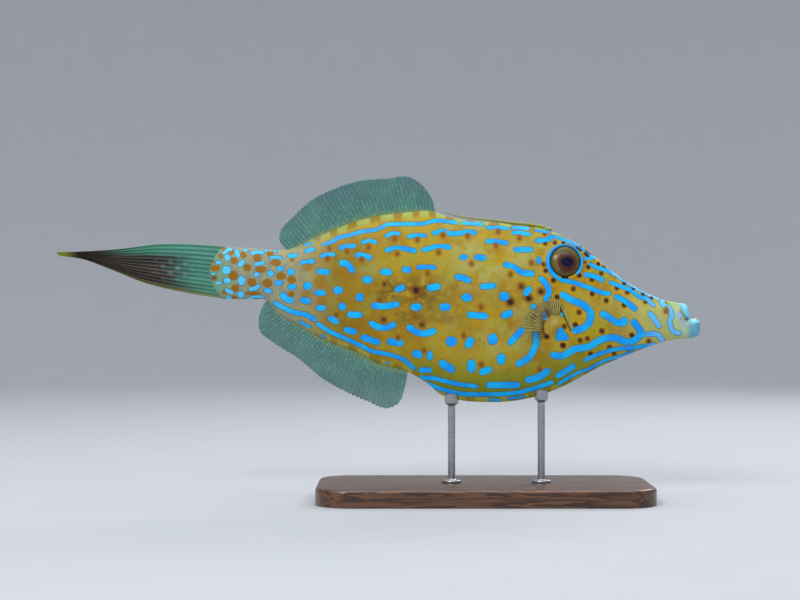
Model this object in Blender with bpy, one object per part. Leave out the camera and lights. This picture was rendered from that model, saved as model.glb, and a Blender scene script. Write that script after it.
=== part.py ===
"""A scrawled filefish swimming level, life size, held by a plain display stand.

Metres, +Z up. The head points along +X, the right flank faces -Y and the mid-plane is Y = 0.
The origin is under the middle of the model, on the underside of the stand's base.
"""

import math

import bmesh
import bpy
import numpy as np
from mathutils import Matrix, Vector

MM = 0.001
GAP = 0.3 * MM  # left between two pieces that touch

# Side outline of the body, snout to tail root, as (place along the body, height) in mm
BACK_LINE = (
    (262, 170.9), (241, 176.4), (210.5, 193.3), (175.7, 221.2), (147, 234.8), (110, 240.3),
    (57.4, 247.3), (49.3, 250.2), (21.8, 249.7), (-11.7, 244.2), (-47, 231.3), (-79.2, 217.7),
    (-100, 218.3), (-135, 220),
)
KEEL_LINE = (
    (262, 139.8), (228, 130.2), (193.1, 115.6), (153.9, 95.6), (134, 89), (94, 85), (62, 88.8),
    (53.9, 91.8), (45.2, 99.4), (25.2, 111.5), (2.6, 117.7), (-22.6, 129.9), (-45.2, 138.4),
    (-70.5, 152.3), (-87, 162.3), (-96.6, 173.2), (-108, 174.3), (-135, 174.5),
)
# Half the body's width, and how sharply its section closes at the keel (1 is an ellipse)
HALF_WIDTH = (
    (262, 6.8), (228, 10), (190, 12.8), (163, 14.2), (135, 15.6), (100, 16), (50, 15.2), (0, 13.3),
    (-40, 10.8), (-80, 7.8), (-100, 6.5), (-135, 4.5), (-147, 2),
)
KEEL_SHARPNESS = ((262, 1), (200, 1.2), (150, 1.45), (60, 1.45), (25, 1.15), (-147, 1.1))
BACK_SHARPNESS = 1.15
WIDEST_ABOVE_MIDDLE = 1.12

# Thin cuts that part the body, as (place, height) of two points on each, in mm
SNOUT_CUT = ((262, 0), (262, 1))
HEAD_CUT = ((152.6, 172.9), (165.2, 146.8))
TAIL_CUT = ((-84, 217), (-98, 172))
TAIL_ROOT_X = -135
TAIL_ROOT_BULGE = 12
TAIL_ROOT_MIDDLE_Z = 197.25
TAIL_ROOT_HALF_HEIGHT = 22.75
BODY_TURNS = 36
HEAD_RINGS = 24
TORSO_RINGS = 34
TAIL_RINGS = 9
FIRST_HEIGHT = 170  # where the search for each ring's place starts
CUT_SOLVE_STEPS = 12
SHARP_ANGLE = math.radians(20)

# Eye: its place, the radius of its disc, and how deep the ball reaches, in mm
EYE_X = 161.9
EYE_Z = 207.0
EYE_RADIUS = 14.4
EYE_DEPTH = 6.4
EYE_STANDS_OUT = 3.4
EYE_FOLLOWS_SKIN = 0.8
EYE_RIM_RADIUS = 14.6
EYE_RIM_THICKNESS = 1.5
EYE_RIM_STEPS = 24
EYE_RIM_SIDES = 6
EYE_STEPS = (20, 10)

# Gill slit, top to bottom, and the two nostrils, as (place, height) in mm
GILL_SLIT = ((156.6, 172.9), (160.2, 164), (165, 155), (169.2, 146.8))
GILL_SLIT_RADIUS = 1.4
GILL_LIP_AHEAD = 2.6
GILL_LIP_RADIUS = 1.3
GILL_STEPS = 9
GILL_SIDES = 8
GILL_END_TURN = 0.3  # the tube swells as a sine from here on, raised to a power
GILL_SWELL = 0.5
NOSTRILS = ((181, 206.4), (184.6, 205.2))
NOSTRIL_RADIUS = 1.1
NOSTRIL_STEPS = (8, 6)

# Lips, as (place, lower height, upper height, half width) in mm, and the mouth's hollow
UPPER_LIP = (
    (262.3, 157.9, 170.9, 6.6), (267, 157.9, 170.6, 6.5), (269.3, 158.0, 168.8, 5.8),
    (270.7, 158.1, 165.4, 4.7), (271.6, 158.4, 161.6, 2.8),
)
LOWER_LIP = (
    (262.3, 140.0, 157.3, 6.7), (268, 140.5, 157.2, 6.6), (273, 141.2, 156.9, 6.2),
    (277, 142.1, 156.2, 5.3), (279.3, 143.6, 153.9, 3.8), (280, 145.6, 150.8, 1.9),
)
LIP_TURNS = 20
LIP_SQUARENESS = 0.8

# Lower front teeth: the centre and radius of their arc and the height of their edge, in mm
TEETH_ARC = (273, 4.6)
TEETH_EDGE = 157.8
TEETH = 6
TOOTH_COLUMNS = 4
TEETH_NOTCH = 0.7
TOOTH_ROUNDNESS = 0.5
TOOTH_THICKNESS = 0.9
TOOTH_EDGE_SHARE = 0.7
TEETH_HALF_SPREAD = math.radians(55)

# Fins: rays, and the thickness of membrane and ray at root and margin, in mm
MEMBRANE = (1.2, 0.55)
RAY = (2.3, 1.15)
FIN_ROWS = 5
RAY_TIP = 0.9
MARGIN_NOTCH = 0.54  # how far the membrane's edge stays behind the rays' tips
MARGIN_STEPS = 600
FAR_OFF = 1.0  # in metres, farther than any margin
DORSAL_ROOT = (49.3, -79.2)
DORSAL_MARGIN = (
    (50.1, 251.6), (45.7, 264.2), (40, 272.1), (33.9, 277.8), (27.8, 281.1), (6.1, 279.9),
    (-14.8, 278.1), (-37.4, 271.2), (-56.6, 262), (-74.8, 246), (-84.4, 235.5), (-85.9, 226),
    (-80.5, 218.6),
)
DORSAL_RAYS = 44
DORSAL_LEAN = (math.radians(8), math.radians(46))
ANAL_ROOT = (25.2, -96)
ANAL_MARGIN = (
    (25.8, 110.4), (22.6, 94.6), (18.3, 84.1), (10.3, 79.4), (-11.3, 85.9), (-28.7, 93.7),
    (-46.1, 103.3), (-69.6, 122.4), (-92.2, 136.8), (-103, 146), (-104.4, 154.6), (-102.7, 163.3),
    (-97.8, 172.6),
)
ANAL_RAYS = 46
ANAL_LEAN = (math.radians(3), math.radians(64))
FIN_WAVE = 2.6  # sideways, in mm, at the reach that follows
FIN_WAVE_AT = 40
FIN_WAVE_POWER = 1.5
FIN_WAVE_TURN = 20  # radians by which the wave lags over a metre of ray
FIN_WAVES_ALONG = 1.6

# Tail fin, folded to a point: its upper and lower edges in mm
CAUDAL_UPPER = (
    (-135.4, 219.9), (-167, 222.1), (-191.4, 222.3), (-223.9, 218.3), (-257.5, 215.9), (-280, 215.4),
)
CAUDAL_LOWER = (
    (-135.4, 174.6), (-167, 179.7), (-203.6, 188.6), (-233.2, 200.4), (-257.5, 209.3), (-278.6, 212.4),
)
CAUDAL_RAYS = 12
CAUDAL_ROWS = 10
CAUDAL_MEMBRANE = (2.0, 0.8)
CAUDAL_RAY = (3.8, 1.5)
CAUDAL_SEAT = 0.36  # left between the tail root and the fin
CAUDAL_ROOT_FADE = 1.5  # power by which the root's curve straightens out
CAUDAL_NOTCH = 1.5
CAUDAL_EDGE_SHARE = 0.35  # thickness of the root's two ends over that of its middle
CAUDAL_EDGE_POWER = 0.5

# Chest fins: the fleshy root and the fan behind it, in mm and degrees
CHEST_ROOT = (152.3, 150.5)
CHEST_LOBE = (6.8, 4.4, 9.5)
CHEST_LOBE_STEPS = (16, 8)
CHEST_LOBE_SUNK = 1.2
CHEST_LOBE_TURN = math.radians(-24)
CHEST_FAN_ROOT = (149.5, 151)
CHEST_FAN_ANGLES = (86, 200)
CHEST_FAN_INNER = 2.6
CHEST_FAN_STAND = 1.3
CHEST_FAN_REACH = (21.5, 24.5)
CHEST_FAN_OUT = (8, 26)
CHEST_RAYS = 11
CHEST_ROWS = 5
CHEST_NOTCH = 0.9  # how far the membrane's edge stays behind the rays' tips
CHEST_MEMBRANE = (1.2, 0.55)
CHEST_RAY = (2.0, 1.0)

# First spine of the back, laid down: its ends along the body and its lift off the back, in mm
SPINE_ENDS = (147, 57.9)
SPINE_RADII = (1.5, 0.5)
SPINE_LIFT = 2.4
SPINE_SEAT = 0.8  # height of its middle line over the gap, in radii
SPINE_SIDES = 8
SPINE_RINGS = 12
SPINE_KNOB = (4.2, 2.4, 2.6)
SPINE_KNOB_STEPS = (12, 6)

# Stand in mm: a board, and two rods whose cups take the keel
BASE_CENTRE_X = 92
BASE_SIZE = (290, 130, 15)
BASE_CORNER = 30
BASE_EDGE = 3
BASE_EDGE_EASE = 0.3  # where the bevel breaks, in shares of it
BASE_CORNER_STEPS = 8
ROD_PLACES = {"front": 142, "rear": 64}
ROD_RADIUS = 3.2
ROD_FOOT = (8.5, 2.2)
ROD_FOOT_WALL = 1.3
ROD_FOOT_BEVEL = 0.8
ROD_FOOT_FILLET = 0.5
ROD_CUP_RADIUS = 6.0
ROD_CUP_HEIGHT = 9
ROD_CUP_FLARE = (2, 1)  # how far its flare reaches down and up
ROD_CUP_OVER_KEEL = 4.2
ROD_SIDES = 16

COLOURS = {
    "skin": ((0.56, 0.35, 0.03, 1), 0.55, 0),
    "fin": ((0.2, 0.33, 0.25, 1), 0.5, 0),
    "tail": ((0.12, 0.08, 0.05, 1), 0.55, 0),
    "lip": ((0.6, 0.62, 0.6, 1), 0.5, 0),
    "tooth": ((0.85, 0.84, 0.76, 1), 0.3, 0),
    "eye": ((0.1, 0.05, 0.03, 1), 0.1, 0),
    "wood": ((0.1, 0.05, 0.03, 1), 0.4, 0),
    "steel": ((0.6, 0.6, 0.6, 1), 0.3, 1),
}


def clear_scene():
    """Removes whatever the scene holds before the model is made."""
    for old in list(bpy.data.objects):
        bpy.data.objects.remove(old, do_unlink=True)


def line(points, places):
    """Heights in metres of a smooth line through points in mm, read at places in metres."""
    place, value = np.array(sorted(points), dtype=float).T * MM
    slope = np.gradient(value, place)
    places = np.asarray(places, dtype=float)
    cell = np.clip(np.searchsorted(place, places) - 1, 0, len(place) - 2)
    span = place[cell + 1] - place[cell]
    t = np.clip((places - place[cell]) / span, 0, 1)
    return (
        value[cell] * (1 + 2 * t) * (1 - t) ** 2
        + value[cell + 1] * (3 - 2 * t) * t**2
        + slope[cell] * span * t * (1 - t) ** 2
        - slope[cell + 1] * span * (1 - t) * t**2
    )


def curve(points, count):
    """Points in metres spread evenly along a smooth curve through points in mm."""
    points = np.array(points, dtype=float)
    along = np.concatenate(([0], np.cumsum(np.linalg.norm(np.diff(points, axis=0), axis=1))))
    read = np.linspace(0, along[-1], count) * MM
    return np.stack([line(list(zip(along, points[:, i])), read) for i in range(points.shape[1])], axis=1)


def sharpness(x, down):
    """How sharply the section closes, from the back's value to the keel's."""
    at_keel = line(KEEL_SHARPNESS, x) / MM
    return BACK_SHARPNESS + (at_keel - BACK_SHARPNESS) * down


def skin_height(x, turn, grow=0.0):
    """Height of the skin at a place along the body and a turn round it: 0 is the back, pi the keel."""
    back = line(BACK_LINE, x) + grow
    keel = line(KEEL_LINE, x) - grow
    down = (1 - np.cos(turn)) / 2
    return back - (back - keel) * down**WIDEST_ABOVE_MIDDLE


def skin_side(x, turn, grow=0.0):
    """How far the skin stands off the mid-plane at a place along the body and a turn round it."""
    round_it = np.sin(turn)
    shape = np.sign(round_it) * np.abs(round_it) ** sharpness(x, (1 - np.cos(turn)) / 2)
    return (line(HALF_WIDTH, x) + grow) * shape


def flank(x, z):
    """How far the skin stands off the mid-plane at a place and a height, in metres."""
    back = line(BACK_LINE, x)
    keel = line(KEEL_LINE, x)
    down = np.clip((back - z) / (back - keel), 0, 1) ** (1 / WIDEST_ABOVE_MIDDLE)
    round_it = 2 * np.sqrt(down * (1 - down))
    return line(HALF_WIDTH, x) * round_it ** sharpness(x, down)


def straight_cut(ends):
    """A cut through two points: gives the place along the body for a height."""
    (x_one, z_one), (x_two, z_two) = ends
    slope = (x_two - x_one) / (z_two - z_one)
    return lambda z: x_one * MM + (z - z_one * MM) * slope


def tail_root(z):
    """The rounded rear edge of the tail root: the place along the body for a height."""
    off_middle = (z / MM - TAIL_ROOT_MIDDLE_Z) / TAIL_ROOT_HALF_HEIGHT
    return (TAIL_ROOT_X - TAIL_ROOT_BULGE * np.clip(1 - off_middle**2, 0, 1)) * MM


def shifted(cut, by):
    """The same cut moved along the body."""
    return lambda z: cut(z) + by


def body_rings(start, end, count, grow=0.0):
    """Rings of skin points between two cuts, each ring bent to lie between them."""
    turn = np.linspace(0, 2 * np.pi, BODY_TURNS, endpoint=False)
    share = np.linspace(0, 1, count)[:, None]
    first = FIRST_HEIGHT * MM
    x = np.broadcast_to((1 - share) * start(first) + share * end(first), (count, BODY_TURNS))
    for _ in range(CUT_SOLVE_STEPS):
        z = skin_height(x, turn, grow)
        x = (1 - share) * start(z) + share * end(z)
    return np.stack([x, skin_side(x, turn, grow), skin_height(x, turn, grow)], axis=-1)


def material(name, kind):
    """A plain finish for one node."""
    colour, roughness, metallic = COLOURS[kind]
    made = bpy.data.materials.new(name)
    made.use_nodes = True
    shader = made.node_tree.nodes["Principled BSDF"]
    shader.inputs["Base Color"].default_value = colour
    shader.inputs["Roughness"].default_value = roughness
    shader.inputs["Metallic"].default_value = metallic
    return made


def make_object(name, points, faces, kind="skin"):
    """A closed mesh object with its faces turned outwards and split into triangles."""
    mesh = bpy.data.meshes.new(name)
    mesh.from_pydata(np.asarray(points).reshape(-1, 3).tolist(), [], faces)
    shape = bmesh.new()
    shape.from_mesh(mesh)
    bmesh.ops.recalc_face_normals(shape, faces=shape.faces)
    bmesh.ops.triangulate(shape, faces=shape.faces)
    shape.to_mesh(mesh)
    shape.free()
    mesh.materials.append(material(name, kind))
    mesh.shade_smooth()
    mesh.set_sharp_from_angle(angle=SHARP_ANGLE)
    made = bpy.data.objects.new(name, mesh)
    bpy.context.scene.collection.objects.link(made)
    return made


def ring_solid(name, rings, kind="skin", closed=False):
    """A solid through rings of points. Open ends are capped by strips from side to side."""
    count, turns = rings.shape[:2]
    faces = []
    for ring in range(count if closed else count - 1):
        after = (ring + 1) % count
        for here in range(turns):
            there = (here + 1) % turns
            faces.append((ring * turns + here, ring * turns + there, after * turns + there, after * turns + here))
    if not closed:
        for first in (0, (count - 1) * turns):
            faces.append((first, first + 1, first + turns - 1))
            faces.append((first + turns // 2 - 1, first + turns // 2, first + turns // 2 + 1))
            for here in range(1, turns // 2 - 1):
                faces.append((first + here, first + here + 1, first + turns - here - 1, first + turns - here))
    return make_object(name, rings, faces, kind)


def sheet_solid(name, middle, thickness, across, kind="fin"):
    """A thin solid on both sides of a grid of points, with the same triangles on its two faces."""
    rows, columns = middle.shape[:2]
    half = thickness[..., None] / 2 * across
    points = np.stack([middle - half, middle + half])
    number = np.arange(points.size // 3).reshape(2, rows, columns)
    faces = []
    for row in range(rows - 1):
        for column in range(columns - 1):
            for side in number:
                corner = side[row, column]
                faces.append((corner, side[row, column + 1], side[row + 1, column + 1]))
                faces.append((corner, side[row + 1, column + 1], side[row + 1, column]))
    for near, far in rim_of(number):
        faces.append((near[0], far[0], far[1]))
        faces.append((near[0], far[1], near[1]))
    return make_object(name, points, faces, kind)


def rim_of(number):
    """Pairs of matching edges round the rim of the two faces of a sheet."""
    near, far = number
    around = [(0, c) for c in range(near.shape[1])]
    around += [(r, near.shape[1] - 1) for r in range(1, near.shape[0])]
    around += [(near.shape[0] - 1, c) for c in range(near.shape[1] - 2, -1, -1)]
    around += [(r, 0) for r in range(near.shape[0] - 2, 0, -1)]
    for one, two in zip(around, around[1:] + around[:1]):
        yield (near[one], near[two]), (far[one], far[two])


def tube_rings(path, radius, sides, closed=False):
    """Rings of a round tube along a path of points, with one radius or one for each point."""
    path = np.asarray(path)
    if closed:
        ahead = np.roll(path, -1, axis=0) - np.roll(path, 1, axis=0)
    else:
        ahead = np.gradient(path, axis=0)
    ahead /= np.linalg.norm(ahead, axis=1, keepdims=True)
    side = np.cross(ahead, (0, 1, 0))
    side /= np.linalg.norm(side, axis=1, keepdims=True)
    up = np.cross(side, ahead)
    turn = np.linspace(0, 2 * np.pi, sides, endpoint=False)
    radius = np.broadcast_to(radius, len(path))[:, None, None]
    round_it = side[:, None] * np.cos(turn)[:, None] + up[:, None] * np.sin(turn)[:, None]
    return path[:, None] + radius * round_it


def ellipsoid(name, centre, radii, turn=None, kind="skin", steps=EYE_STEPS):
    """An ellipsoid with its poles on its own Z, which turn may lay along another axis."""
    shape = bmesh.new()
    bmesh.ops.create_uvsphere(shape, u_segments=steps[0], v_segments=steps[1], radius=1)
    place = Matrix.Translation(Vector(centre)) @ (turn or Matrix()) @ Matrix.Diagonal((*radii, 1))
    bmesh.ops.transform(shape, matrix=place, verts=shape.verts)
    points = [vertex.co[:] for vertex in shape.verts]
    faces = [tuple(vertex.index for vertex in face.verts) for face in shape.faces]
    shape.free()
    return make_object(name, points, faces, kind)


def keep_largest(mesh):
    """Leaves only the largest closed surface of a mesh."""
    shape = bmesh.new()
    shape.from_mesh(mesh)
    left = set(shape.verts)
    largest = []
    while left:
        found = [left.pop()]
        for vertex in found:
            for edge in vertex.link_edges:
                other = edge.other_vert(vertex)
                if other in left:
                    left.remove(other)
                    found.append(other)
        largest = max(largest, found, key=len)
    kept = set(largest)
    bmesh.ops.delete(shape, geom=[v for v in shape.verts if v not in kept], context="VERTS")
    bmesh.ops.triangulate(shape, faces=shape.faces)
    shape.to_mesh(mesh)
    shape.free()


def combine(node, pieces, operation):
    """Joins closed pieces to a node or cuts them from it in one Boolean, and removes them."""
    group = bpy.data.collections.new(node.name + "_pieces")
    for piece in pieces:
        group.objects.link(piece)
        piece.hide_render = True
        piece.display_type = "WIRE"
    step = node.modifiers.new(operation, "BOOLEAN")
    step.operation = operation
    step.operand_type = "COLLECTION"
    step.collection = group
    step.solver = "EXACT"
    done = node.evaluated_get(bpy.context.evaluated_depsgraph_get())
    mesh = bpy.data.meshes.new_from_object(done)
    node.modifiers.clear()
    finish = node.data.materials[0]
    node.data = mesh
    mesh.materials.clear()
    mesh.materials.append(finish)
    for piece in pieces:
        bpy.data.objects.remove(piece, do_unlink=True)
    bpy.data.collections.remove(group)
    keep_largest(mesh)
    mesh.shade_smooth()
    mesh.set_sharp_from_angle(angle=SHARP_ANGLE)


def body_clearance():
    """The whole body grown by the gap, which cuts the seat of a piece that stands on it."""
    start = straight_cut(SNOUT_CUT)
    return ring_solid("clearance", body_rings(start, tail_root, HEAD_RINGS + TORSO_RINGS, GAP))


def both_sides():
    """The two sides of the fish as (name, sign of Y)."""
    return (("right", -1), ("left", 1))


def on_flank(points, side, sink=0.0):
    """Points on the skin of one side for (place, height) points in metres, sunk by a depth."""
    x, z = np.asarray(points).T
    return np.stack([x, side * (flank(x, z) - sink), z], axis=1)


def eye_frame(side):
    """Place and turn of an eyeball, whose own Z looks out of the head."""
    x, z, reach = EYE_X * MM, EYE_Z * MM, EYE_RADIUS * MM
    lean_ahead = (flank(x - reach, z) - flank(x + reach, z)) / (2 * reach) * EYE_FOLLOWS_SKIN
    lean_up = (flank(x, z - reach) - flank(x, z + reach)) / (2 * reach) * EYE_FOLLOWS_SKIN
    out = Vector((lean_ahead, side, lean_up)).normalized()
    skin = Vector((x, side * flank(x, z), z))
    place = skin + out * (EYE_STANDS_OUT - EYE_DEPTH) * MM
    return place, out.to_track_quat("Z", "Y").to_matrix().to_4x4()


def eye_rim(side):
    """A ring of skin round the eye that follows the side of the head."""
    turn = np.linspace(0, 2 * np.pi, EYE_RIM_STEPS, endpoint=False)
    x = (EYE_X + EYE_RIM_RADIUS * np.cos(turn)) * MM
    z = (EYE_Z + EYE_RIM_RADIUS * np.sin(turn)) * MM
    path = on_flank(np.stack([x, z], axis=1), side)
    ahead = np.roll(path, -1, axis=0) - np.roll(path, 1, axis=0)
    ahead /= np.linalg.norm(ahead, axis=1, keepdims=True)
    out = np.array((0.0, side, 0.0))
    wide = np.cross(ahead, out)
    wide /= np.linalg.norm(wide, axis=1, keepdims=True)
    section = np.linspace(0, 2 * np.pi, EYE_RIM_SIDES, endpoint=False)
    round_it = wide[:, None] * np.cos(section)[:, None] + out * np.sin(section)[:, None]
    return ring_solid("rim", path[:, None] + EYE_RIM_THICKNESS * MM * round_it, closed=True)


def gill_tube(side, ahead, radius):
    """A tube along the gill slit, or ahead of it by a distance."""
    points = curve([(x + ahead, z) for x, z in GILL_SLIT], GILL_STEPS)
    turn = np.linspace(GILL_END_TURN, np.pi - GILL_END_TURN, len(points))
    size = radius * MM * np.sin(turn) ** GILL_SWELL
    return ring_solid("gill", tube_rings(on_flank(points, side), size, GILL_SIDES))


def make_head():
    """The head with its eye sockets, eye rims, gill slits and nostrils."""
    cut = straight_cut(HEAD_CUT)
    head = ring_solid("head", body_rings(straight_cut(SNOUT_CUT), cut, HEAD_RINGS))
    added = []
    cutters = []
    for _, side in both_sides():
        added.append(eye_rim(side))
        added.append(gill_tube(side, GILL_LIP_AHEAD, GILL_LIP_RADIUS))
        cutters.append(gill_tube(side, 0, GILL_SLIT_RADIUS))
        place, turn = eye_frame(side)
        radii = np.array((EYE_RADIUS, EYE_RADIUS, EYE_DEPTH)) * MM + GAP
        cutters.append(ellipsoid("socket", place, radii, turn))
        for x, z in NOSTRILS:
            centre = on_flank([(x * MM, z * MM)], side)[0]
            radius = NOSTRIL_RADIUS * MM
            cutters.append(ellipsoid("nostril", centre, (radius,) * 3, steps=NOSTRIL_STEPS))
    combine(head, added, "UNION")
    combine(head, cutters, "DIFFERENCE")


def make_torso_and_tail():
    """The torso and the tail root, each parted from its neighbour by a thin cut."""
    ring_solid("torso", torso_rings())
    tail_cut = shifted(straight_cut(TAIL_CUT), -GAP)
    ring_solid("tail_peduncle", body_rings(tail_cut, tail_root, TAIL_RINGS))


def make_eyes():
    """The two eyeballs."""
    for name, side in both_sides():
        place, turn = eye_frame(side)
        radii = np.array((EYE_RADIUS, EYE_RADIUS, EYE_DEPTH)) * MM
        ellipsoid("eye_" + name, place, radii, turn, "eye")


def squared(value):
    """A sine or cosine pushed towards its ends, which squares an ellipse a little."""
    return np.sign(value) * np.abs(value) ** LIP_SQUARENESS


def make_lip(name, stations):
    """One lip as a loft of slightly squared ellipses."""
    x, low, high, half = np.array(stations).T * MM
    turn = np.linspace(0, 2 * np.pi, LIP_TURNS, endpoint=False)
    z = (low + high)[:, None] / 2 + (high - low)[:, None] / 2 * squared(np.cos(turn))
    y = half[:, None] * squared(np.sin(turn))
    ring_solid(name, np.stack([np.broadcast_to(x[:, None], y.shape), y, z], axis=-1), "lip")


def lower_lip_top(x, y):
    """Height in mm of the top of the lower lip at a place along the fish and off its mid-plane."""
    place, low, high, half = np.array(LOWER_LIP).T
    low, high, half = (np.interp(x, place, values) for values in (low, high, half))
    power = 2 / LIP_SQUARENESS
    return (low + high) / 2 + (high - low) / 2 * (1 - np.abs(y / half) ** power) ** (1 / power)


def make_teeth():
    """The lower front teeth round an arc, joined at their roots, each with a rounded edge."""
    columns = TEETH * TOOTH_COLUMNS + 1
    turn = np.linspace(-TEETH_HALF_SPREAD, TEETH_HALF_SPREAD, columns)
    centre, radius = TEETH_ARC
    x = centre + radius * np.cos(turn)
    y = radius * np.sin(turn)
    rounded = np.abs(np.sin(np.linspace(0, TEETH * np.pi, columns))) ** TOOTH_ROUNDNESS
    outer = TOOTH_THICKNESS / 2
    root = lower_lip_top(x, np.maximum(np.abs(y) - outer, 0)) + GAP / MM
    z = np.stack([root, TEETH_EDGE - TEETH_NOTCH * (1 - rounded)])
    middle = np.stack([np.broadcast_to(x, z.shape), np.broadcast_to(y, z.shape), z], axis=-1) * MM
    out = np.stack([np.cos(turn), np.sin(turn), np.zeros(columns)], axis=-1)
    thickness = TOOTH_THICKNESS * np.array([1, TOOTH_EDGE_SHARE])[:, None] * MM
    sheet_solid("teeth_lower", middle, np.broadcast_to(thickness, z.shape), out, "tooth")


def ridged(rows, rays, membrane, ray):
    """Thickness of a fin on its grid: every second column is a ray, raised over the membrane."""
    down = np.linspace(0, 1, rows)[:, None]
    is_ray = np.arange(2 * rays + 1) % 2 == 1
    thin = membrane[0] + (membrane[1] - membrane[0]) * down
    thick = ray[0] + (ray[1] - ray[0]) * down
    return np.where(is_ray, thick, thin) * MM


def outline_normals(points, away):
    """Unit normals of a curve in the mid-plane, on the side that away gives (1 is up)."""
    ahead = np.gradient(points, axis=0)
    normal = np.stack([-ahead[:, 1], ahead[:, 0]], axis=1)
    normal /= np.linalg.norm(normal, axis=1, keepdims=True)
    return normal * np.sign(normal[:, 1:] * away)


def ray_tips(roots, lean, away, margin):
    """Where each ray, leaning back from the vertical by its own angle, meets the margin."""
    angle = np.linspace(*lean, len(roots))
    heading = np.stack([-np.sin(angle), away * np.cos(angle)], axis=1)
    outline = curve(margin, MARGIN_STEPS)
    off = outline[None] - roots[:, None]
    across = np.abs(off[..., 0] * heading[:, None, 1] - off[..., 1] * heading[:, None, 0])
    ahead = (off * heading[:, None]).sum(axis=-1)
    score = np.where(ahead > 0, across, FAR_OFF)
    reach = ahead[np.arange(len(roots)), score.argmin(axis=1)]
    return roots + heading * np.maximum(reach, RAY_TIP * MM)[:, None]


def torso_rings():
    """The rings of the torso, between its cuts to the head and the tail."""
    head_cut = shifted(straight_cut(HEAD_CUT), -GAP)
    return body_rings(head_cut, straight_cut(TAIL_CUT), TORSO_RINGS)


def make_long_fin(name, ends, away, margin, rays, lean):
    """A fin of many rays along the torso's back or keel, waved gently towards its margin."""
    columns = 2 * rays + 1
    x = np.linspace(*ends, columns) * MM
    ridge = torso_rings()[::-1, 0 if away > 0 else BODY_TURNS // 2]
    edge = np.stack([x, np.interp(x, ridge[:, 0], ridge[:, 2])], axis=1)
    roots = edge + outline_normals(edge, away) * GAP
    tips = ray_tips(roots, lean, away, margin)
    heading = (tips - roots) / np.linalg.norm(tips - roots, axis=1, keepdims=True)
    tips[::2] -= heading[::2] * MARGIN_NOTCH * MM
    down = np.linspace(0, 1, FIN_ROWS)[:, None, None]
    flat = roots + (tips - roots) * down
    along = np.linspace(0, 2 * np.pi * FIN_WAVES_ALONG, columns)
    reach = np.linalg.norm(flat - roots, axis=-1)
    swing = FIN_WAVE * MM * (reach / (FIN_WAVE_AT * MM)) ** FIN_WAVE_POWER
    bend = swing * np.sin(along - FIN_WAVE_TURN * reach)
    middle = np.stack([flat[..., 0], bend, flat[..., 1]], axis=-1)
    sheet_solid(name, middle, ridged(FIN_ROWS, rays, MEMBRANE, RAY), np.array((0.0, 1.0, 0.0)))


def make_tail_fin():
    """The folded tail fin, its rays drawn together towards the tip."""
    columns = 2 * CAUDAL_RAYS + 1
    up = np.linspace(0, 1, columns)
    low = curve(CAUDAL_LOWER, CAUDAL_ROWS)[:, None]
    high = curve(CAUDAL_UPPER, CAUDAL_ROWS)[:, None]
    flat = low + (high - low) * up[:, None]
    root_z = flat[0, :, 1]
    root_x = tail_root(root_z) - CAUDAL_SEAT * MM
    down = np.linspace(0, 1, CAUDAL_ROWS)[:, None]
    flat[..., 0] += (root_x - flat[0, :, 0]) * (1 - down) ** CAUDAL_ROOT_FADE
    is_ray = np.arange(columns) % 2 == 1
    flat[-1, :, 0] += np.where(is_ray, 0, CAUDAL_NOTCH * MM)
    middle = np.stack([flat[..., 0], np.zeros(flat.shape[:2]), flat[..., 1]], axis=-1)
    thickness = ridged(CAUDAL_ROWS, CAUDAL_RAYS, CAUDAL_MEMBRANE, CAUDAL_RAY)
    edges = CAUDAL_EDGE_SHARE + (1 - CAUDAL_EDGE_SHARE) * np.sin(np.pi * up) ** CAUDAL_EDGE_POWER
    thickness *= 1 - (1 - down) * (1 - edges)
    sheet_solid("caudal_fin", middle, thickness, np.array((0.0, 1.0, 0.0)), "tail")


def make_chest_fin(name, side, clearance):
    """A chest fin: a fan of rays on a fleshy lobe that is seated on the flank."""
    columns = 2 * CHEST_RAYS + 1
    share = np.linspace(0, 1, columns)
    angle = np.radians(CHEST_FAN_ANGLES[0] + (CHEST_FAN_ANGLES[1] - CHEST_FAN_ANGLES[0]) * share)
    out = np.radians(CHEST_FAN_OUT[0] + (CHEST_FAN_OUT[1] - CHEST_FAN_OUT[0]) * share)
    reach = CHEST_FAN_REACH[0] + (CHEST_FAN_REACH[1] - CHEST_FAN_REACH[0]) * np.sin(np.pi * share)
    reach -= np.where(np.arange(columns) % 2 == 1, 0, CHEST_NOTCH)
    along = CHEST_FAN_INNER + (reach - CHEST_FAN_INNER) * np.linspace(0, 1, CHEST_ROWS)[:, None]
    root = on_flank([np.array(CHEST_FAN_ROOT) * MM], side)[0]
    flat_x = along * np.cos(angle) * np.cos(out)
    flat_z = along * np.sin(angle) * np.cos(out)
    stand = side * (CHEST_FAN_STAND + along * np.sin(out))
    middle = root + np.stack([flat_x, stand, flat_z], axis=-1) * MM
    thickness = ridged(CHEST_ROWS, CHEST_RAYS, CHEST_MEMBRANE, CHEST_RAY)
    fin = sheet_solid(name, middle, thickness, np.array((0.0, 1.0, 0.0)))
    turn = Matrix.Rotation(-CHEST_LOBE_TURN, 4, "Y")
    lobe_at = on_flank([np.array(CHEST_ROOT) * MM], side, CHEST_LOBE_SUNK * MM)[0]
    wide, deep, tall = np.array(CHEST_LOBE) * MM
    lobe = ellipsoid("lobe", lobe_at, (wide, deep, tall), turn, steps=CHEST_LOBE_STEPS)
    combine(fin, [lobe], "UNION")
    combine(fin, [clearance], "DIFFERENCE")


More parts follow.
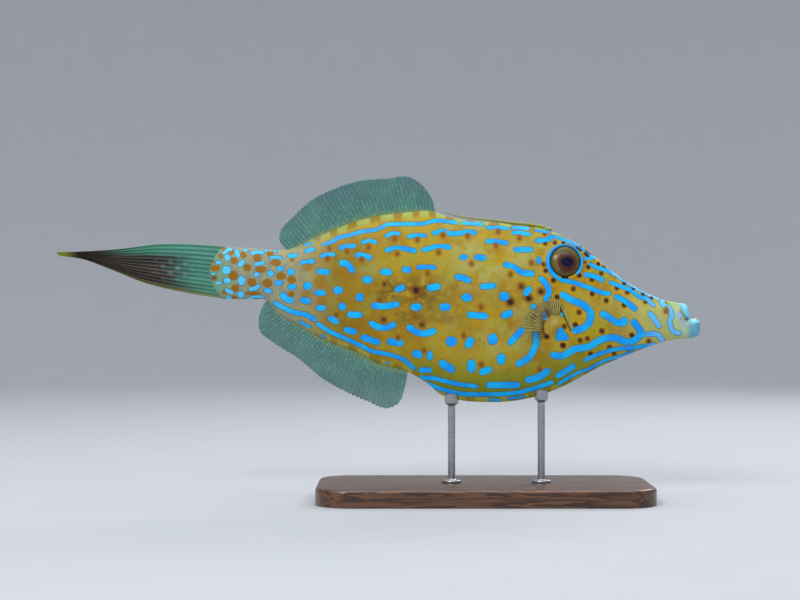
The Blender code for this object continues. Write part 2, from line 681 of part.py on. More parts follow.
def make_spine(clearance):
    """The first spine of the back, laid down along it, on a small knob."""
    x = np.linspace(*SPINE_ENDS, SPINE_RINGS) * MM
    share = np.linspace(0, 1, len(x))
    radius = (SPINE_RADII[0] + (SPINE_RADII[1] - SPINE_RADII[0]) * share) * MM
    z = line(BACK_LINE, x) + GAP + radius * SPINE_SEAT + SPINE_LIFT * MM * share**2
    path = np.stack([x, np.zeros(len(x)), z], axis=1)
    spine = ring_solid("dorsal_spine", tube_rings(path, radius, SPINE_SIDES), "fin")
    centre = (SPINE_ENDS[0] * MM, 0, float(line(BACK_LINE, SPINE_ENDS[0] * MM)))
    knob = ellipsoid("knob", centre, np.array(SPINE_KNOB) * MM, steps=SPINE_KNOB_STEPS)
    combine(spine, [knob], "UNION")
    combine(spine, [clearance], "DIFFERENCE")


def make_base():
    """The board: a rounded rectangle with its upper edge bevelled."""
    length, width, height = np.array(BASE_SIZE) * MM
    corner = BASE_CORNER * MM
    edge = BASE_EDGE * MM
    rings = []
    ease = edge * BASE_EDGE_EASE
    levels = ((0, 0), (height - edge, 0), (height - ease, ease), (height, edge))
    for level, inset in levels:
        ring = []
        for quarter in range(4):
            turn = np.linspace(0, np.pi / 2, BASE_CORNER_STEPS + 1) + quarter * np.pi / 2
            side_x = 1 if quarter in (0, 3) else -1
            side_y = 1 if quarter in (0, 1) else -1
            middle = (side_x * (length / 2 - corner), side_y * (width / 2 - corner))
            x = BASE_CENTRE_X * MM + middle[0] + (corner - inset) * np.cos(turn)
            y = middle[1] + (corner - inset) * np.sin(turn)
            ring += [(one, two, level) for one, two in zip(x, y)]
        rings.append(ring)
    rings = np.array(rings)
    number = np.arange(rings.size // 3).reshape(rings.shape[:2])
    faces = [tuple(number[0]), tuple(number[-1])]
    for low, high in zip(number, number[1:]):
        for here in range(len(low)):
            there = (here + 1) % len(low)
            faces.append((low[here], low[there], high[there], high[here]))
    make_object("stand_base", rings, faces, "wood")


def make_rod(name, x, clearance):
    """A rod on a round foot, with a cup on top that is cut to the keel."""
    bottom = BASE_SIZE[2] + GAP / MM
    top = float(line(KEEL_LINE, x * MM)) / MM + ROD_CUP_OVER_KEEL
    foot_radius, foot_height = ROD_FOOT
    profile = (
        (foot_radius, bottom), (foot_radius, bottom + ROD_FOOT_WALL),
        (foot_radius - ROD_FOOT_BEVEL, bottom + foot_height),
        (ROD_RADIUS, bottom + foot_height + ROD_FOOT_FILLET),
        (ROD_RADIUS, top - ROD_CUP_HEIGHT - ROD_CUP_FLARE[0]),
        (ROD_CUP_RADIUS, top - ROD_CUP_HEIGHT + ROD_CUP_FLARE[1]), (ROD_CUP_RADIUS, top),
    )
    turn = np.linspace(0, 2 * np.pi, ROD_SIDES, endpoint=False)
    radius, level = np.array(profile).T * MM
    rings = np.stack(
        [
            x * MM + radius[:, None] * np.cos(turn),
            radius[:, None] * np.sin(turn),
            np.broadcast_to(level[:, None], (len(level), ROD_SIDES)),
        ],
        axis=-1,
    )
    rod = ring_solid(name, rings, "steel")
    combine(rod, [clearance], "DIFFERENCE")


def make_model():
    """Every node of the fish and its stand."""
    clear_scene()
    make_head()
    make_torso_and_tail()
    make_eyes()
    make_lip("lip_upper", UPPER_LIP)
    make_lip("lip_lower", LOWER_LIP)
    make_teeth()
    make_long_fin("dorsal_fin", DORSAL_ROOT, 1, DORSAL_MARGIN, DORSAL_RAYS, DORSAL_LEAN)
    make_long_fin("anal_fin", ANAL_ROOT, -1, ANAL_MARGIN, ANAL_RAYS, ANAL_LEAN)
    make_tail_fin()
    for name, side in both_sides():
        make_chest_fin("pectoral_fin_" + name, side, body_clearance())
    make_spine(body_clearance())
    make_base()
    for name, place in ROD_PLACES.items():
        make_rod("stand_rod_" + name, place, body_clearance())


make_model()
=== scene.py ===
"""Looks of a life-size scrawled filefish model on its display stand.

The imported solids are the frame. One skin takes the place of the flesh, and the eyes, teeth, fins,
back spine and stand are finer pieces over their solids. Lengths are in millimetres where a value
is a driving size, and in metres in the meshes. The marks of the skin are placed by the pixels of
the photograph (800 x 600) in which each one shows.
"""

import logging
import math
from dataclasses import dataclass
from enum import Enum
from typing import Callable

import bpy
import numpy as np
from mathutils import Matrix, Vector


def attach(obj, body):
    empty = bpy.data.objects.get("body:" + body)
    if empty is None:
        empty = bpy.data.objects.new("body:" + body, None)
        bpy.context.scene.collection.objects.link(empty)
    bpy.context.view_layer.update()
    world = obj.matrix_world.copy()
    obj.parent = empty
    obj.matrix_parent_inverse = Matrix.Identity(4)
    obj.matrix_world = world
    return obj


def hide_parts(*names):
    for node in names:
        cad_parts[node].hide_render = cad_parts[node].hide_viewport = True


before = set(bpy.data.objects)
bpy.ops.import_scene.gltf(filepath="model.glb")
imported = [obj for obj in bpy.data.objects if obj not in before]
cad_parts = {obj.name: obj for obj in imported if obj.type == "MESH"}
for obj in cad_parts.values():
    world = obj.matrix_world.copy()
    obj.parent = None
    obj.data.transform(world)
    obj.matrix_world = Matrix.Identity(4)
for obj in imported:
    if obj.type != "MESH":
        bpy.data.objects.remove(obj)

LOG = logging.getLogger("filefish")
MM = 0.001
TINY = 1e-6
Pair = tuple[float, float]
Triple = tuple[float, float, float]
Path = tuple[Pair, ...]
Colour = tuple[float, float, float, float]
Stroke = tuple[float, Path]
Oval = tuple[float, float, float, float]
Patch = tuple[float, float, float, float, float]
RayRow = tuple[float, float, int]
Grid = np.ndarray
Piece = bpy.types.Object
Finish = bpy.types.Material
Socket = bpy.types.NodeSocket
Feed = Socket | float | Colour

# Points closer than this in mm are made one; points round a fin's ray; the direction across the fish
SAME_POINT = 0.001
RAY_SIDES = 8
SIDEWAYS = np.array((0.0, 1.0, 0.0))

# The photograph: its middle and width in pixels, the place and height in mm that its middle shows,
# the size of a pixel there and the camera's distance
PHOTO_MIDDLE = (400, 300)
PHOTO_WIDTH = 800
MIDDLE_X = 19.1
MIDDLE_Z = 173.7
PIXEL = 0.87
CAMERA_AWAY = 1500

# Side outline of the body, snout to tail root, as (place along the body, height) in mm
BACK_LINE = (
    (280, 170.6), (268, 170.9), (262, 171), (241, 176.4), (210.5, 193.3), (175.7, 221.2), (147, 234.8),
    (110, 240.3), (57.4, 247.3), (49.3, 250.2), (21.8, 249.7), (-11.7, 244.2), (-47, 231.3),
    (-79.2, 217.7), (-100, 218.3), (-135, 220),
)
KEEL_LINE = (
    (280, 140.2), (268, 139.9), (262, 139.8), (228, 130.2), (193.1, 115.6), (153.9, 95.6), (134, 89),
    (94, 85), (62, 88.8), (53.9, 91.8), (45.2, 99.4), (25.2, 111.5), (2.6, 117.7), (-22.6, 129.9),
    (-45.2, 138.4), (-70.5, 152.3), (-87, 162.3), (-96.6, 173.2), (-108, 174.3), (-135, 174.5),
)
# Half the body's width, and how sharply its section closes at the keel (1 is an ellipse)
HALF_WIDTH = (
    (280, 6.4), (262, 6.8), (228, 10), (190, 12.8), (163, 14.2), (135, 15.6), (100, 16), (50, 15.2),
    (0, 13.3), (-40, 10.8), (-80, 7.8), (-100, 6.5), (-135, 4.5), (-147, 2),
)
KEEL_SHARPNESS = ((280, 1), (262, 1), (200, 1.2), (150, 1.45), (60, 1.45), (25, 1.15), (-147, 1.1))
BACK_SHARPNESS = 1.15
WIDEST_ABOVE_MIDDLE = 1.12
# Front of the closed mouth in side view, as (height, place): lower jaw, notch, upper lip
MOUTH_FRONT = (
    (139.8, 266), (140.6, 272), (141.7, 276.4), (143.6, 279), (145.8, 279.8), (150.6, 279.8),
    (154, 279.6), (155.6, 279), (156.5, 277.6), (157, 274.6), (157.3, 271.6), (157.6, 270.2),
    (158, 270), (158.6, 270.5), (159.8, 270.8), (161.6, 270.7), (165.4, 270), (168.6, 268.6),
    (170.3, 266.3), (171, 263.2),
)
# Rear edge of the pale lips, as (height, place)
LIP_REAR = ((140, 268.5), (156, 267.5), (158, 265), (160, 264), (170, 260))
TAIL_ROOT_X = -135
TAIL_ROOT_BULGE = 12
TAIL_ROOT_MIDDLE_Z = 197.25
TAIL_ROOT_HALF_HEIGHT = 22.75

# Eye: its place, the radius of its disc, how deep the ball reaches and how far it stands out, in mm
EYE_X = 161.9
EYE_Z = 207.0
EYE_RADIUS = 14.4
EYE_DEPTH = 6.4
EYE_STANDS_OUT = 3.4
EYE_FOLLOWS_SKIN = 0.8
EYE_OPENING = 13.2

# Lines and places on the flank, as (place along the body, height) in mm
GILL_SLIT = ((156.6, 172.9), (160.2, 164), (165, 155), (169.2, 146.8))
NOSTRILS = ((181, 206.4), (184.6, 205.2))
LIP_FOLD = ((264.6, 167), (265.2, 163), (266.6, 159.2), (267.8, 156.6), (266.2, 153.6))
MOUTH_CLEFT = ((270.8, 157.4), (269.2, 157), (267.6, 156.2))
CHEST_ROOT = (152.3, 150.5)

# Blue strokes as (width, points), in pixels of the photograph
HEAD_STROKES = (
    (2.2, ((534.5, 230.2), (541, 231.2), (550, 232))),
    (2.7, ((549, 236), (556, 237), (563, 239.2), (571.4, 242.5), (577, 245.2))),
    (1.3, ((575, 244.2), (583, 249.2), (592, 256.6))),
    (3.2, ((584.5, 258.6), (594.6, 257.4))),
    (4.2, ((535.3, 240.8), (543, 240.2), (552, 238.6))),
    (3.5, ((589.6, 263.3), (595.7, 267.3), (603.9, 269.4), (616.1, 275))),
    (1.7, ((616.1, 275.4), (620, 278.8), (630.4, 285.3), (641.6, 291.4), (650, 295.7), (659, 299.4))),
    (4.5, ((584, 274.5), (593.7, 276), (603.9, 280.6))),
    (3.6, (
        (609.5, 282), (618, 285.4), (626.3, 288.7), (632, 290.9), (637, 295.2), (642, 297.7), (647.4, 299.2),
        (651, 303.4), (654.9, 306.2),
    )),
    (2.8, ((550, 269), (551.6, 273.4), (555, 276.6), (560.4, 279.4))),
    (4.2, (
        (560.4, 279.8), (565, 280.6), (570, 281.5), (580.4, 284.7), (592.9, 289.2), (600.9, 292.4),
        (610.5, 293.8),
    )),
    (5, ((615.1, 296.4), (623.3, 300), (630.4, 305.1), (636.5, 310.2))),
    (6, ((600.8, 312.8), (609, 317.3), (617.1, 322.4), (626.3, 323.5))),
    (5, ((649.3, 312.2), (653.9, 318.4), (660, 327.6))),
    (6.5, (
        (632.4, 320.4), (636.5, 325.5), (640.6, 332.7), (635.5, 339.8), (625.3, 341.8), (617.1, 338.3),
        (609, 337.8), (598.8, 340.8), (590.6, 345.9), (574, 349.5), (561, 356), (551, 354.5),
    )),
    (5, ((643.7, 334.7), (658, 334.7), (663.1, 341.8))),
    (4.6, (
        (661, 300), (663.6, 306), (669, 309), (671.8, 315), (669.8, 321.4), (670.2, 325.8), (673, 331),
        (680.5, 333.7),
    )),
    (6.5, (
        (561, 293.5), (570.1, 299.4), (583.9, 305.5), (590.8, 313.2), (587, 325.4), (573.2, 331.5),
    )),
    (5.5, ((540, 277.5), (547.1, 285.6), (549, 292), (544.9, 301))),
    (6, ((524.2, 294.8), (530.5, 287.5))),
    (3.8, ((583.9, 360.6), (593.7, 356.1), (604.9, 352), (617.1, 349), (631.4, 348), (655.9, 344.4))),
    (3, ((557.9, 384.3), (577.8, 372.9), (590, 368.3), (600, 362.9))),
    (3, ((600, 362.9), (606.9, 360), (621.2, 356.1), (633.5, 351.5))),
    (3.4, ((560.7, 328.4), (558, 334), (557.4, 340))),
    (3.4, ((560.7, 328.4), (563.6, 333.4), (568, 338.6))),
    (3.4, ((556.4, 338.9), (568, 338.2))),
    (7, ((560.8, 334.6), (561.6, 336))),
)
SHOULDER_STROKES = (
    (3.2, ((440, 220.6), (457.6, 222.9))),
    (3.2, ((462.2, 222.9), (482.9, 224.4))),
    (3.2, ((485.9, 227.5), (508.9, 228.7))),
    (3.2, ((511.9, 227.5), (529.5, 228.7))),
    (4.5, ((440, 231.3), (450.7, 233.6), (463, 232.8), (476.7, 232.8))),
    (4, ((511.9, 232.8), (530.3, 234.3))),
    (4.5, ((485.9, 241.2), (495.1, 242), (508.1, 243.1))),
    (4.5, ((440, 246.6), (450.7, 247.3))),
    (5, ((514.2, 249.6), (532.6, 249.6))),
    (5.5, ((474.4, 257.3), (485.9, 258))),
    (5.5, ((503.5, 264.2), (513.5, 267.2), (522.7, 272.6), (534.1, 273.7))),
    (6, ((455.3, 276.4), (463, 278), (470.6, 281))),
    (5.5, ((480.6, 286.8), (495.1, 285.6))),
    (7, ((440, 307), (450, 307))),
    (7, ((502, 316.2), (511.9, 312.4))),
    (6, ((467.6, 314.7), (487.5, 316.2))),
    (8, ((466.8, 346.8), (472.1, 338.4))),
    (6, ((508.8, 344), (523.3, 328.5))),
    (6, ((536, 332), (536, 343), (528.8, 357.6), (516.5, 365.2))),
    (7.5, ((440, 362.2), (453.8, 370.6))),
    (6.5, ((479.8, 372.9), (491.3, 369))),
    (6.5, ((525.7, 380.5), (538, 377.5), (549.4, 369.8))),
    (5.5, ((556.3, 376.7), (565.5, 371.3), (574.7, 365.2))),
    (6, ((486.7, 385.1), (519.6, 385.1))),
    (4, ((440, 379.8), (455.3, 383.6), (477.5, 386.6))),
    (4, ((440, 388.9), (455.3, 392.8), (485.9, 394.3), (516.5, 392.8), (539.5, 386.6), (553.3, 382))),
    (2, ((489, 399.6), (501.2, 400.4))),
    (2, ((507.3, 398.9), (525.7, 396.6))),
)
FLANK_STROKES = (
    (3.5, (
        (322.2, 244.9), (330.2, 243.3), (338.1, 237.8), (349.3, 235.4), (358.9, 232.2), (378, 229),
        (386, 225), (398.7, 223.9), (424.2, 223.4), (435.4, 220.7), (440, 220.6),
    )),
    (4, ((304.6, 251.3), (315, 248.9))),
    (2, ((303.8, 245.3), (311.8, 243.3))),
    (4, ((287.9, 256.1), (297.5, 255.3))),
    (4.5, ((338.9, 248.1), (355.7, 245.7))),
    (4, ((361.2, 243.3), (370, 241.3), (377.2, 242.5))),
    (4, ((385.2, 236.2), (393.1, 234.1), (400.3, 234.1))),
    (4, ((407.5, 236.6), (426.6, 235.4))),
    (4, ((432.2, 233.8), (440, 231.3))),
    (4, ((320.6, 256.1), (334.9, 254.5))),
    (4.5, ((300.7, 263.3), (314.2, 260.9))),
    (4.5, ((385.2, 250.5), (397.1, 248.1), (416.3, 251))),
    (4.5, ((421.8, 250.5), (433.8, 247.3), (450.5, 246.8))),
    (5, ((355.7, 255.3), (363.6, 256.1), (371.6, 258))),
    (6, ((339.7, 262.5), (346.9, 264.1), (353.3, 272))),
    (5.5, ((317.4, 271.2), (329.4, 272))),
    (4.5, ((417, 267.3), (436.2, 267.6))),
    (6, ((395.5, 290.4), (404.3, 286.4))),
    (6.5, ((427.4, 288.3), (440.2, 286.1))),
    (5.5, ((315, 292.8), (325.4, 292.8))),
    (6, ((371.6, 305.5), (384.4, 306.3), (398.7, 303.9))),
    (6, ((300.7, 299.9), (310.2, 301.5))),
    (6.3, ((281.5, 293.5), (286.5, 298.6), (293, 301.2))),
    (6, ((347.7, 314.3), (362, 315.1))),
    (5.5, ((328.6, 317.5), (338.1, 322.3))),
    (6, ((370, 322.3), (378, 327), (386, 327.5), (395.5, 323.9))),
    (6.5, ((407.5, 326.3), (416.3, 331.8), (425.8, 333.4), (435.4, 330.2))),
    (6, ((344.5, 329.4), (356.5, 332.3))),
    (6, ((361.2, 336.6), (379.6, 343))),
    (6.5, ((387.6, 341.4), (394.7, 342.2), (402.7, 343.8))),
    (7, ((413.1, 352.6), (421.8, 355.7))),
    (5, ((418.6, 370.1), (431.4, 370.1))),
    (4.5, ((273.6, 302.3), (283.9, 307.9), (295.1, 312.7), (304.6, 314.3), (315.8, 319.9))),
    (4, (
        (316.6, 323.1), (328.6, 331), (342.9, 337.4), (358.9, 344.6), (371.6, 351), (387.6, 354.2),
        (403.5, 359.7), (414.7, 369.3),
    )),
    (2.5, ((299.1, 321.5), (311, 327.8))),
    (2.5, ((321.4, 335), (325.4, 337.4))),
    (4, ((419.4, 378.1), (432.2, 378.1), (440, 379.8))),
    (4, ((427.4, 383.6), (440, 388.9))),
)
TAIL_STROKES = (
    (3, ((223, 253.8), (226.8, 250.6), (231.9, 248.7))),
    (4.5, ((236.4, 250), (238.3, 257))),
    (5, ((238.9, 265.9), (244, 260.8))),
    (3.5, ((251, 253.8), (257.4, 251.9), (263.8, 253.2))),
    (3.5, ((254.8, 264.6), (264.4, 262.4))),
    (3, ((269.5, 258.3), (275.9, 257), (282.3, 258.9))),
    (4, ((249.1, 289.5), (255.5, 288.2), (259.3, 285.1))),
    (4, ((225.5, 289.5), (233.2, 293.3))),
    (2.5, ((246.6, 299.4), (257.4, 296.5), (263.8, 297.5))),
)
# Pale lavender strokes of the lips
LIP_STROKES = (
    (3.4, ((677.4, 312.6), (682, 319))),
    (2.8, ((683.2, 319.6), (684.9, 327))),
)
# Near-black dashes about the eye
DARK_DASHES = (
    (2, ((680.9, 318.6), (681.1, 319.2))),
    (2.8, ((623.4, 282.8), (625.4, 284.2))),
    (2.6, ((632.4, 288.2), (634.2, 289.4))),
    (2.6, ((642, 293.4), (643.6, 294.4))),
    (2.8, ((650.8, 297), (652.6, 298.2))),
    (2.8, ((597.6, 263.2), (599.2, 264.6))),
    (2, ((603.8, 266.4), (605, 267.4))),
    (2.4, ((562, 242.6), (564.6, 243.2))),
    (1.8, ((554, 242.6), (556, 243))),
    (2.3, ((576, 246.6), (581.8, 251.2))),
    (2.6, ((584, 252.8), (588.6, 257))),
    (1.4, ((579, 245.4), (581.8, 247.4))),
    (2.1, ((585.2, 250), (590.3, 254.2))),
    (2.4, ((561.4, 277.3), (568.4, 277.7))),
)
# Painted brown shade behind the gill slit's lip and along the rear edge of the chest fin's lobe
BROWN_SHADE_LINES = (
    (1.7, ((556.5, 302), (562.4, 313), (571, 331.4))),
    (2.6, ((544.4, 308), (547.6, 312.6), (549.8, 317.6))),
    (2.4, ((545.4, 319.5), (542.8, 325), (543.6, 331.5), (547.6, 338.4))),
)
# Painted mauve shade in the crease of the lips
LIP_CREASE_SHADE = ((1.8, ((680, 310.5), (683.5, 314.6), (687.4, 320.6))),)
# Pale green lip of the gill slit
GILL_LIP = ((2, ((559.4, 301), (566, 314), (572.6, 329.4))),)
# Blue ovals as (x, y, width, height), in pixels
BLUE_OVALS = (
    (538.7, 260.3, 5, 7.5), (533.3, 307, 6, 6.4), (544.4, 316.2, 5.4, 8), (561.5, 314.7, 2.5, 4),
    (624.3, 320.4, 7, 6), (463.7, 257.3, 9, 5.5), (466.8, 297.6, 11, 8), (504.3, 296.3, 10, 9),
    (451.4, 341.4, 11.5, 10), (492.8, 339.2, 10, 11), (501.2, 359.1, 9, 11), (471.4, 366, 9, 13),
    (291.1, 272, 7, 7), (406.7, 269.6, 9.5, 6.5), (386, 272, 12, 7), (367.6, 279.7, 10, 7.5),
    (307.8, 285.9, 8, 8), (338.1, 290.4, 9.5, 8), (291.9, 286.9, 8.5, 5.5), (359.7, 297.2, 8.4, 8.4),
    (416.3, 307.1, 12, 7.5), (342.1, 306.6, 7.5, 8), (320.6, 307.9, 10, 6), (429.8, 355.7, 6, 9),
    (387.6, 362.9, 3, 3), (227.4, 257.6, 6, 6), (245.3, 250.3, 5, 2.5), (218.5, 262.4, 6, 3.5),
    (226.5, 270.1, 8.4, 8.4), (266.3, 250.6, 4, 2), (275.3, 251.3, 4, 2.5), (280, 268.5, 7, 4.5),
    (256.8, 274.5, 6.5, 5), (270.5, 273.6, 6.5, 6), (213.4, 273.9, 5, 2), (218.5, 282.8, 8, 2.5),
    (227.4, 280.6, 7, 5.5), (241.5, 280.6, 7, 9), (278.4, 282.8, 9, 5.5), (267.9, 290.8, 8.5, 5.5),
    (240.8, 294.6, 7, 7), (228.7, 298.1, 6, 3.5),
)
# Near-black dots of the head, as (x, y, radius), in pixels
DARK_DOTS = (
    (544.8, 234, 1.8), (545, 243.3, 2.2), (555, 242.7, 2), (563.4, 242.6, 2.1), (584.8, 262.2, 1.3),
    (588.1, 267.2, 2.2), (553.6, 280.4, 2.6),
    (598.4, 263.7, 1.8), (603.9, 266.8, 1.8), (601.3, 273.3, 2.2), (579.3, 275.5, 2.2),
    (543.5, 264.2, 2.2), (545.7, 270.6, 2.3), (592.1, 279.7, 2.4),
    (573.4, 288.8, 2.4), (592.3, 293.7, 2.4), (606.1, 300.5, 2.4), (616.9, 288, 2.2), (624.3, 283.2, 2),
    (627.3, 292.3, 2.2), (633.2, 288.6, 1.8), (645.5, 301.7, 2), (643.2, 293.9, 1.8),
    (651.3, 297.4, 1.8), (624.1, 305.1, 2.4), (579, 312.3, 2.5), (575.4, 324.8, 2.5), (564.4, 326.4, 2.4),
    (601.8, 330.9, 2.6), (631.9, 335.2, 2.4), (580, 340.4, 2.4), (587.6, 338.6, 2.2), (648.8, 341.3, 2.2),
    (609.5, 347.4, 2.4), (563.1, 345.5, 2.9), (590.7, 353.8, 2.4), (614.1, 353.6, 2.2),
    (557.1, 297.1, 2.4), (547, 336.8, 2.6), (546.6, 311.8, 2.6), (534.1, 317, 2.9),
)
# Larger brown spots with an orange halo, as (x, y, radius), in pixels
HALO_SPOTS = (
    (510.3, 302.1, 4), (528.6, 298.1, 3.7), (541, 291.5, 3.3), (521.2, 286.5, 3), (416.3, 290.4, 4),
    (422.3, 324.7, 3), (383.6, 319.9, 2.6), (379.6, 299.9, 2), (384.4, 284, 2.2), (214, 278, 2.2),
)
# Soft orange-brown spots, as (x, y), in pixels
SOFT_SPOTS = (
    (443, 235), (467.6, 235.9), (498.2, 231.3), (495.9, 245.5), (519.3, 237.9), (531.5, 262.7),
    (510.4, 274.1), (471.4, 263.4), (481, 307), (463.7, 335.4), (481.3, 364.4), (539.5, 369),
    (329.4, 248.2), (394.7, 238.6), (417.2, 239.6), (347, 251.2), (327.5, 258.8), (397.1, 253.7),
    (438.6, 252.1), (427.4, 272.8), (397.9, 337.4), (424.2, 350.2), (336.5, 314.3), (666.1, 310.7),
    (368.6, 246.8), (361.6, 259.2),
)
# How far a soft spot fades, the round about it that is kept clear of blue, and how much lower it is
# placed, as the hump above each lifts it in the picture
SOFT_SPOT_REACH = 3.4
SOFT_SPOT_CLEAR = 3.1
SOFT_SPOT_DROP = 0.8
# Rounds that the strokes bend about, as (x, y, radius), in pixels
CLEARINGS = (
    (422, 325.2, 5.5), (383.8, 320.2, 5.3), (666.1, 310.7, 3.4), (444, 234.8, 3), (306.8, 267.6, 4.6),
)
# Orange-brown spots of the tail root, as (x, y, width, height), in pixels
TAIL_SPOTS = (
    (223.6, 249, 5, 5), (231.3, 252.2, 6, 6), (220.7, 256, 5, 5), (234.1, 260.8, 7, 7),
    (243.4, 255.1, 7, 7), (212.1, 261.5, 5, 5), (215.3, 268.2, 10, 7), (247.2, 267.5, 8, 8),
    (257.4, 257.6, 9, 9), (260.9, 269.4, 11, 7), (275.9, 262.7, 11, 7), (269.8, 253.8, 8, 5),
    (233.2, 275.5, 10, 10), (281, 276.1, 10, 8), (251.7, 282.2, 9, 9), (267.6, 283.1, 10, 9),
    (291.8, 279.9, 9, 8), (235.1, 288.2, 8, 8), (291.2, 294.3, 7, 7), (252.9, 293.3, 16, 4),
    (224.2, 292.7, 5, 5), (234.4, 297.8, 6, 5), (291.8, 259.9, 5, 5),
)
# Zones of the ground colour, as (x, y, half width, half height, amount), in pixels
# Pale patches; the first, on the chest fin's fleshy lobe, is a painted highlight
PALE_PATCHES_AND_LOBE_HIGHLIGHT = (
    (554, 321.6, 6, 3.4, 1.0), (520, 313, 14, 6, 0.7), (478, 268, 34, 26, 0.9),
    (536, 325, 20, 26, 0.75), (448, 322, 16, 14, 0.4), (368, 268, 14, 10, 0.55),
    (305, 278, 12, 10, 0.5), (500, 345, 36, 20, 0.6), (654, 322, 20, 18, 0.7),
    (520, 256, 24, 14, 0.85), (540, 250, 9, 12, 1.0), (468, 249, 20, 7, 1.0),
    (466, 228, 28, 5, 0.7), (602, 304, 26, 13, 0.55),
)
DUSKY_PATCHES = (
    (418, 292, 34, 20, 1.0), (383, 305, 12, 12, 0.55), (516, 296, 22, 14, 0.5), (390, 290, 18, 15, 1.0),
    (408, 316, 20, 10, 0.85), (447, 316, 22, 14, 0.6),
)
CREAM_PATCHES = (
    (676, 314, 6, 11, 0.8), (684, 331, 5, 8, 1.0), (677, 325, 4.5, 5, 0.8), (677, 309, 5, 4, 0.6),
)
WARM_PATCHES = (
    (560, 322, 4, 4, 1.0),
    (596, 296, 34, 26, 0.12), (340, 296, 40, 22, 0.4), (430, 345, 34, 18, 0.45),
)
# Large ochre spots where the flank turns into the tail root, as (x, y, width, height), in pixels
OCHRE_SPOTS = (
    (307.2, 266.6, 10.5, 9.5), (320.6, 282, 14, 14), (306, 294.5, 10, 9), (342.6, 273, 14, 13),
    (322, 301, 12, 9),
)

# Long fins: places at which the root begins and ends, and outline of the margin, in mm
DORSAL_ROOT = (49.3, -79.2)
DORSAL_MARGIN = (
    (50.1, 251.6), (45.7, 264.2), (40, 272.1), (33.9, 277.8), (27.8, 281.1), (6.1, 279.9),
    (-14.8, 278.1), (-37.4, 271.2), (-56.6, 262), (-74.8, 246), (-84.4, 235.5), (-85.9, 226),
    (-80.5, 218.6),
)
ANAL_ROOT = (25.2, -96)
ANAL_MARGIN = (
    (25.8, 110.4), (22.6, 94.6), (18.3, 84.1), (10.3, 79.4), (-11.3, 85.9), (-28.7, 93.7),
    (-46.1, 103.3), (-69.6, 122.4), (-92.2, 136.8), (-103, 146), (-104.4, 154.6), (-102.7, 163.3),
    (-97.8, 172.6),
)
# Tail fin: its two edges in side view, root to tip, in mm
CAUDAL_UPPER = (
    (-135.4, 219.9), (-167, 222.1), (-191.4, 222.3), (-223.9, 218.3), (-257.5, 215.9), (-280, 215.4),
)
CAUDAL_LOWER = (
    (-135.4, 174.6), (-167, 179.7), (-203.6, 188.6), (-233.2, 200.4), (-257.5, 209.3), (-278.6, 212.4),
)


class Side(Enum):
    """The two flanks, by the sign of Y."""

    RIGHT = -1
    LEFT = 1

    def of(self, part: str) -> str:
        """Name of a part's node on this flank."""
        return f"{part}_{self.name.lower()}"


class Edge(Enum):
    """The body's two edges that carry a long fin, by the sign of Z."""

    BACK = 1
    KEEL = -1

    def line(self) -> Path:
        """The edge's side outline."""
        return BACK_LINE if self is Edge.BACK else KEEL_LINE


class Slot(Enum):
    """The record's material slots."""

    SKIN = "skin"
    EYES = "eyes"
    TEETH = "teeth"
    FINS = "fins"
    TAIL_FIN = "tail_fin"
    WOOD = "stand_wood"
    STEEL = "stand_steel"


class Sum(Enum):
    """Arithmetic that a material's nodes do, by Blender's name for it."""

    PLUS = "ADD"
    TIMES = "MULTIPLY"
    TIMES_PLUS = "MULTIPLY_ADD"
    OVER = "DIVIDE"
    GREATER = "MAXIMUM"
    FRACTION = "FRACT"


def srgb(red: float, green: float, blue: float) -> Colour:
    """A screen colour as the linear colour that Blender works in.

    Args:
        red: 0 to 255.
        green: 0 to 255.
        blue: 0 to 255.

    Returns:
        The linear colour, opaque.
    """
    values = np.array([red, green, blue]) / 255
    linear = np.where(values <= 0.04045, values / 12.92, ((values + 0.055) / 1.055) ** 2.4)
    return (*(float(value) for value in linear), 1.0)


def smooth_line(points: Path, places: Grid) -> Grid:
    """Values of a smooth line through points: cubic Hermite pieces whose slopes are central differences.

    Args:
        points: (place, value) pairs in any order.
        places: where the line is read.

    Returns:
        The line's value at each place, held level past both ends.
    """
    place, value = np.array(sorted(points), dtype=float).T
    slope = np.gradient(value, place)
    places = np.asarray(places, dtype=float)
    cell = np.clip(np.searchsorted(place, places) - 1, 0, len(place) - 2)
    span = place[cell + 1] - place[cell]
    t = np.clip((places - place[cell]) / span, 0, 1)
    return (
        value[cell] * (1 + 2 * t) * (1 - t) ** 2
        + value[cell + 1] * (3 - 2 * t) * t**2
        + slope[cell] * span * t * (1 - t) ** 2
        - slope[cell + 1] * span * (1 - t) * t**2
    )


def smooth_curve(points: Path, count: int, trim: float = 0.0) -> Grid:
    """Points spread evenly by length along a smooth curve through the given points.

    Args:
        points: points that the curve goes through.
        count: how many points are wanted.
        trim: length left off at both ends, which takes off no more than a third each.

    Returns:
        The points, first to last.
    """
    points = np.array(points, dtype=float)
    along = np.concatenate(([0], np.cumsum(np.linalg.norm(np.diff(points, axis=0), axis=1))))
    trim = min(trim, along[-1] / 3)
    read = np.linspace(trim, along[-1] - trim, count)
    return np.stack([smooth_line(tuple(zip(along, column)), read) for column in points.T], axis=1)


def ease(values: Grid, low: float, high: float) -> Grid:
    """Smooth step: 0 at low, 1 at high, 3t^2 - 2t^3 between."""
    t = np.clip((values - low) / (high - low), 0, 1)
    return t * t * (3 - 2 * t)


def bell(values: Grid, shape: Triple) -> Grid:
    """A rounded swelling: height exp(-((values - place) / width)^2), for a shape of those three."""
    height, place, width = shape
    return height * np.exp(-(((values - place) / width) ** 2))


def blend(ends: Pair, share: Grid) -> Grid:
    """From the first end at share 0 to the second at share 1."""
    return ends[0] + (ends[1] - ends[0]) * share


def swing(values: Grid, shape: Triple) -> Grid:
    """A wave: share sin(values / length + start), for a shape of (share, length, start)."""
    share, length, start = shape
    return share * np.sin(values / length + start)


def unit(vectors: Grid) -> Grid:
    """Vectors brought to length one."""
    return vectors / np.linalg.norm(vectors, axis=-1, keepdims=True)


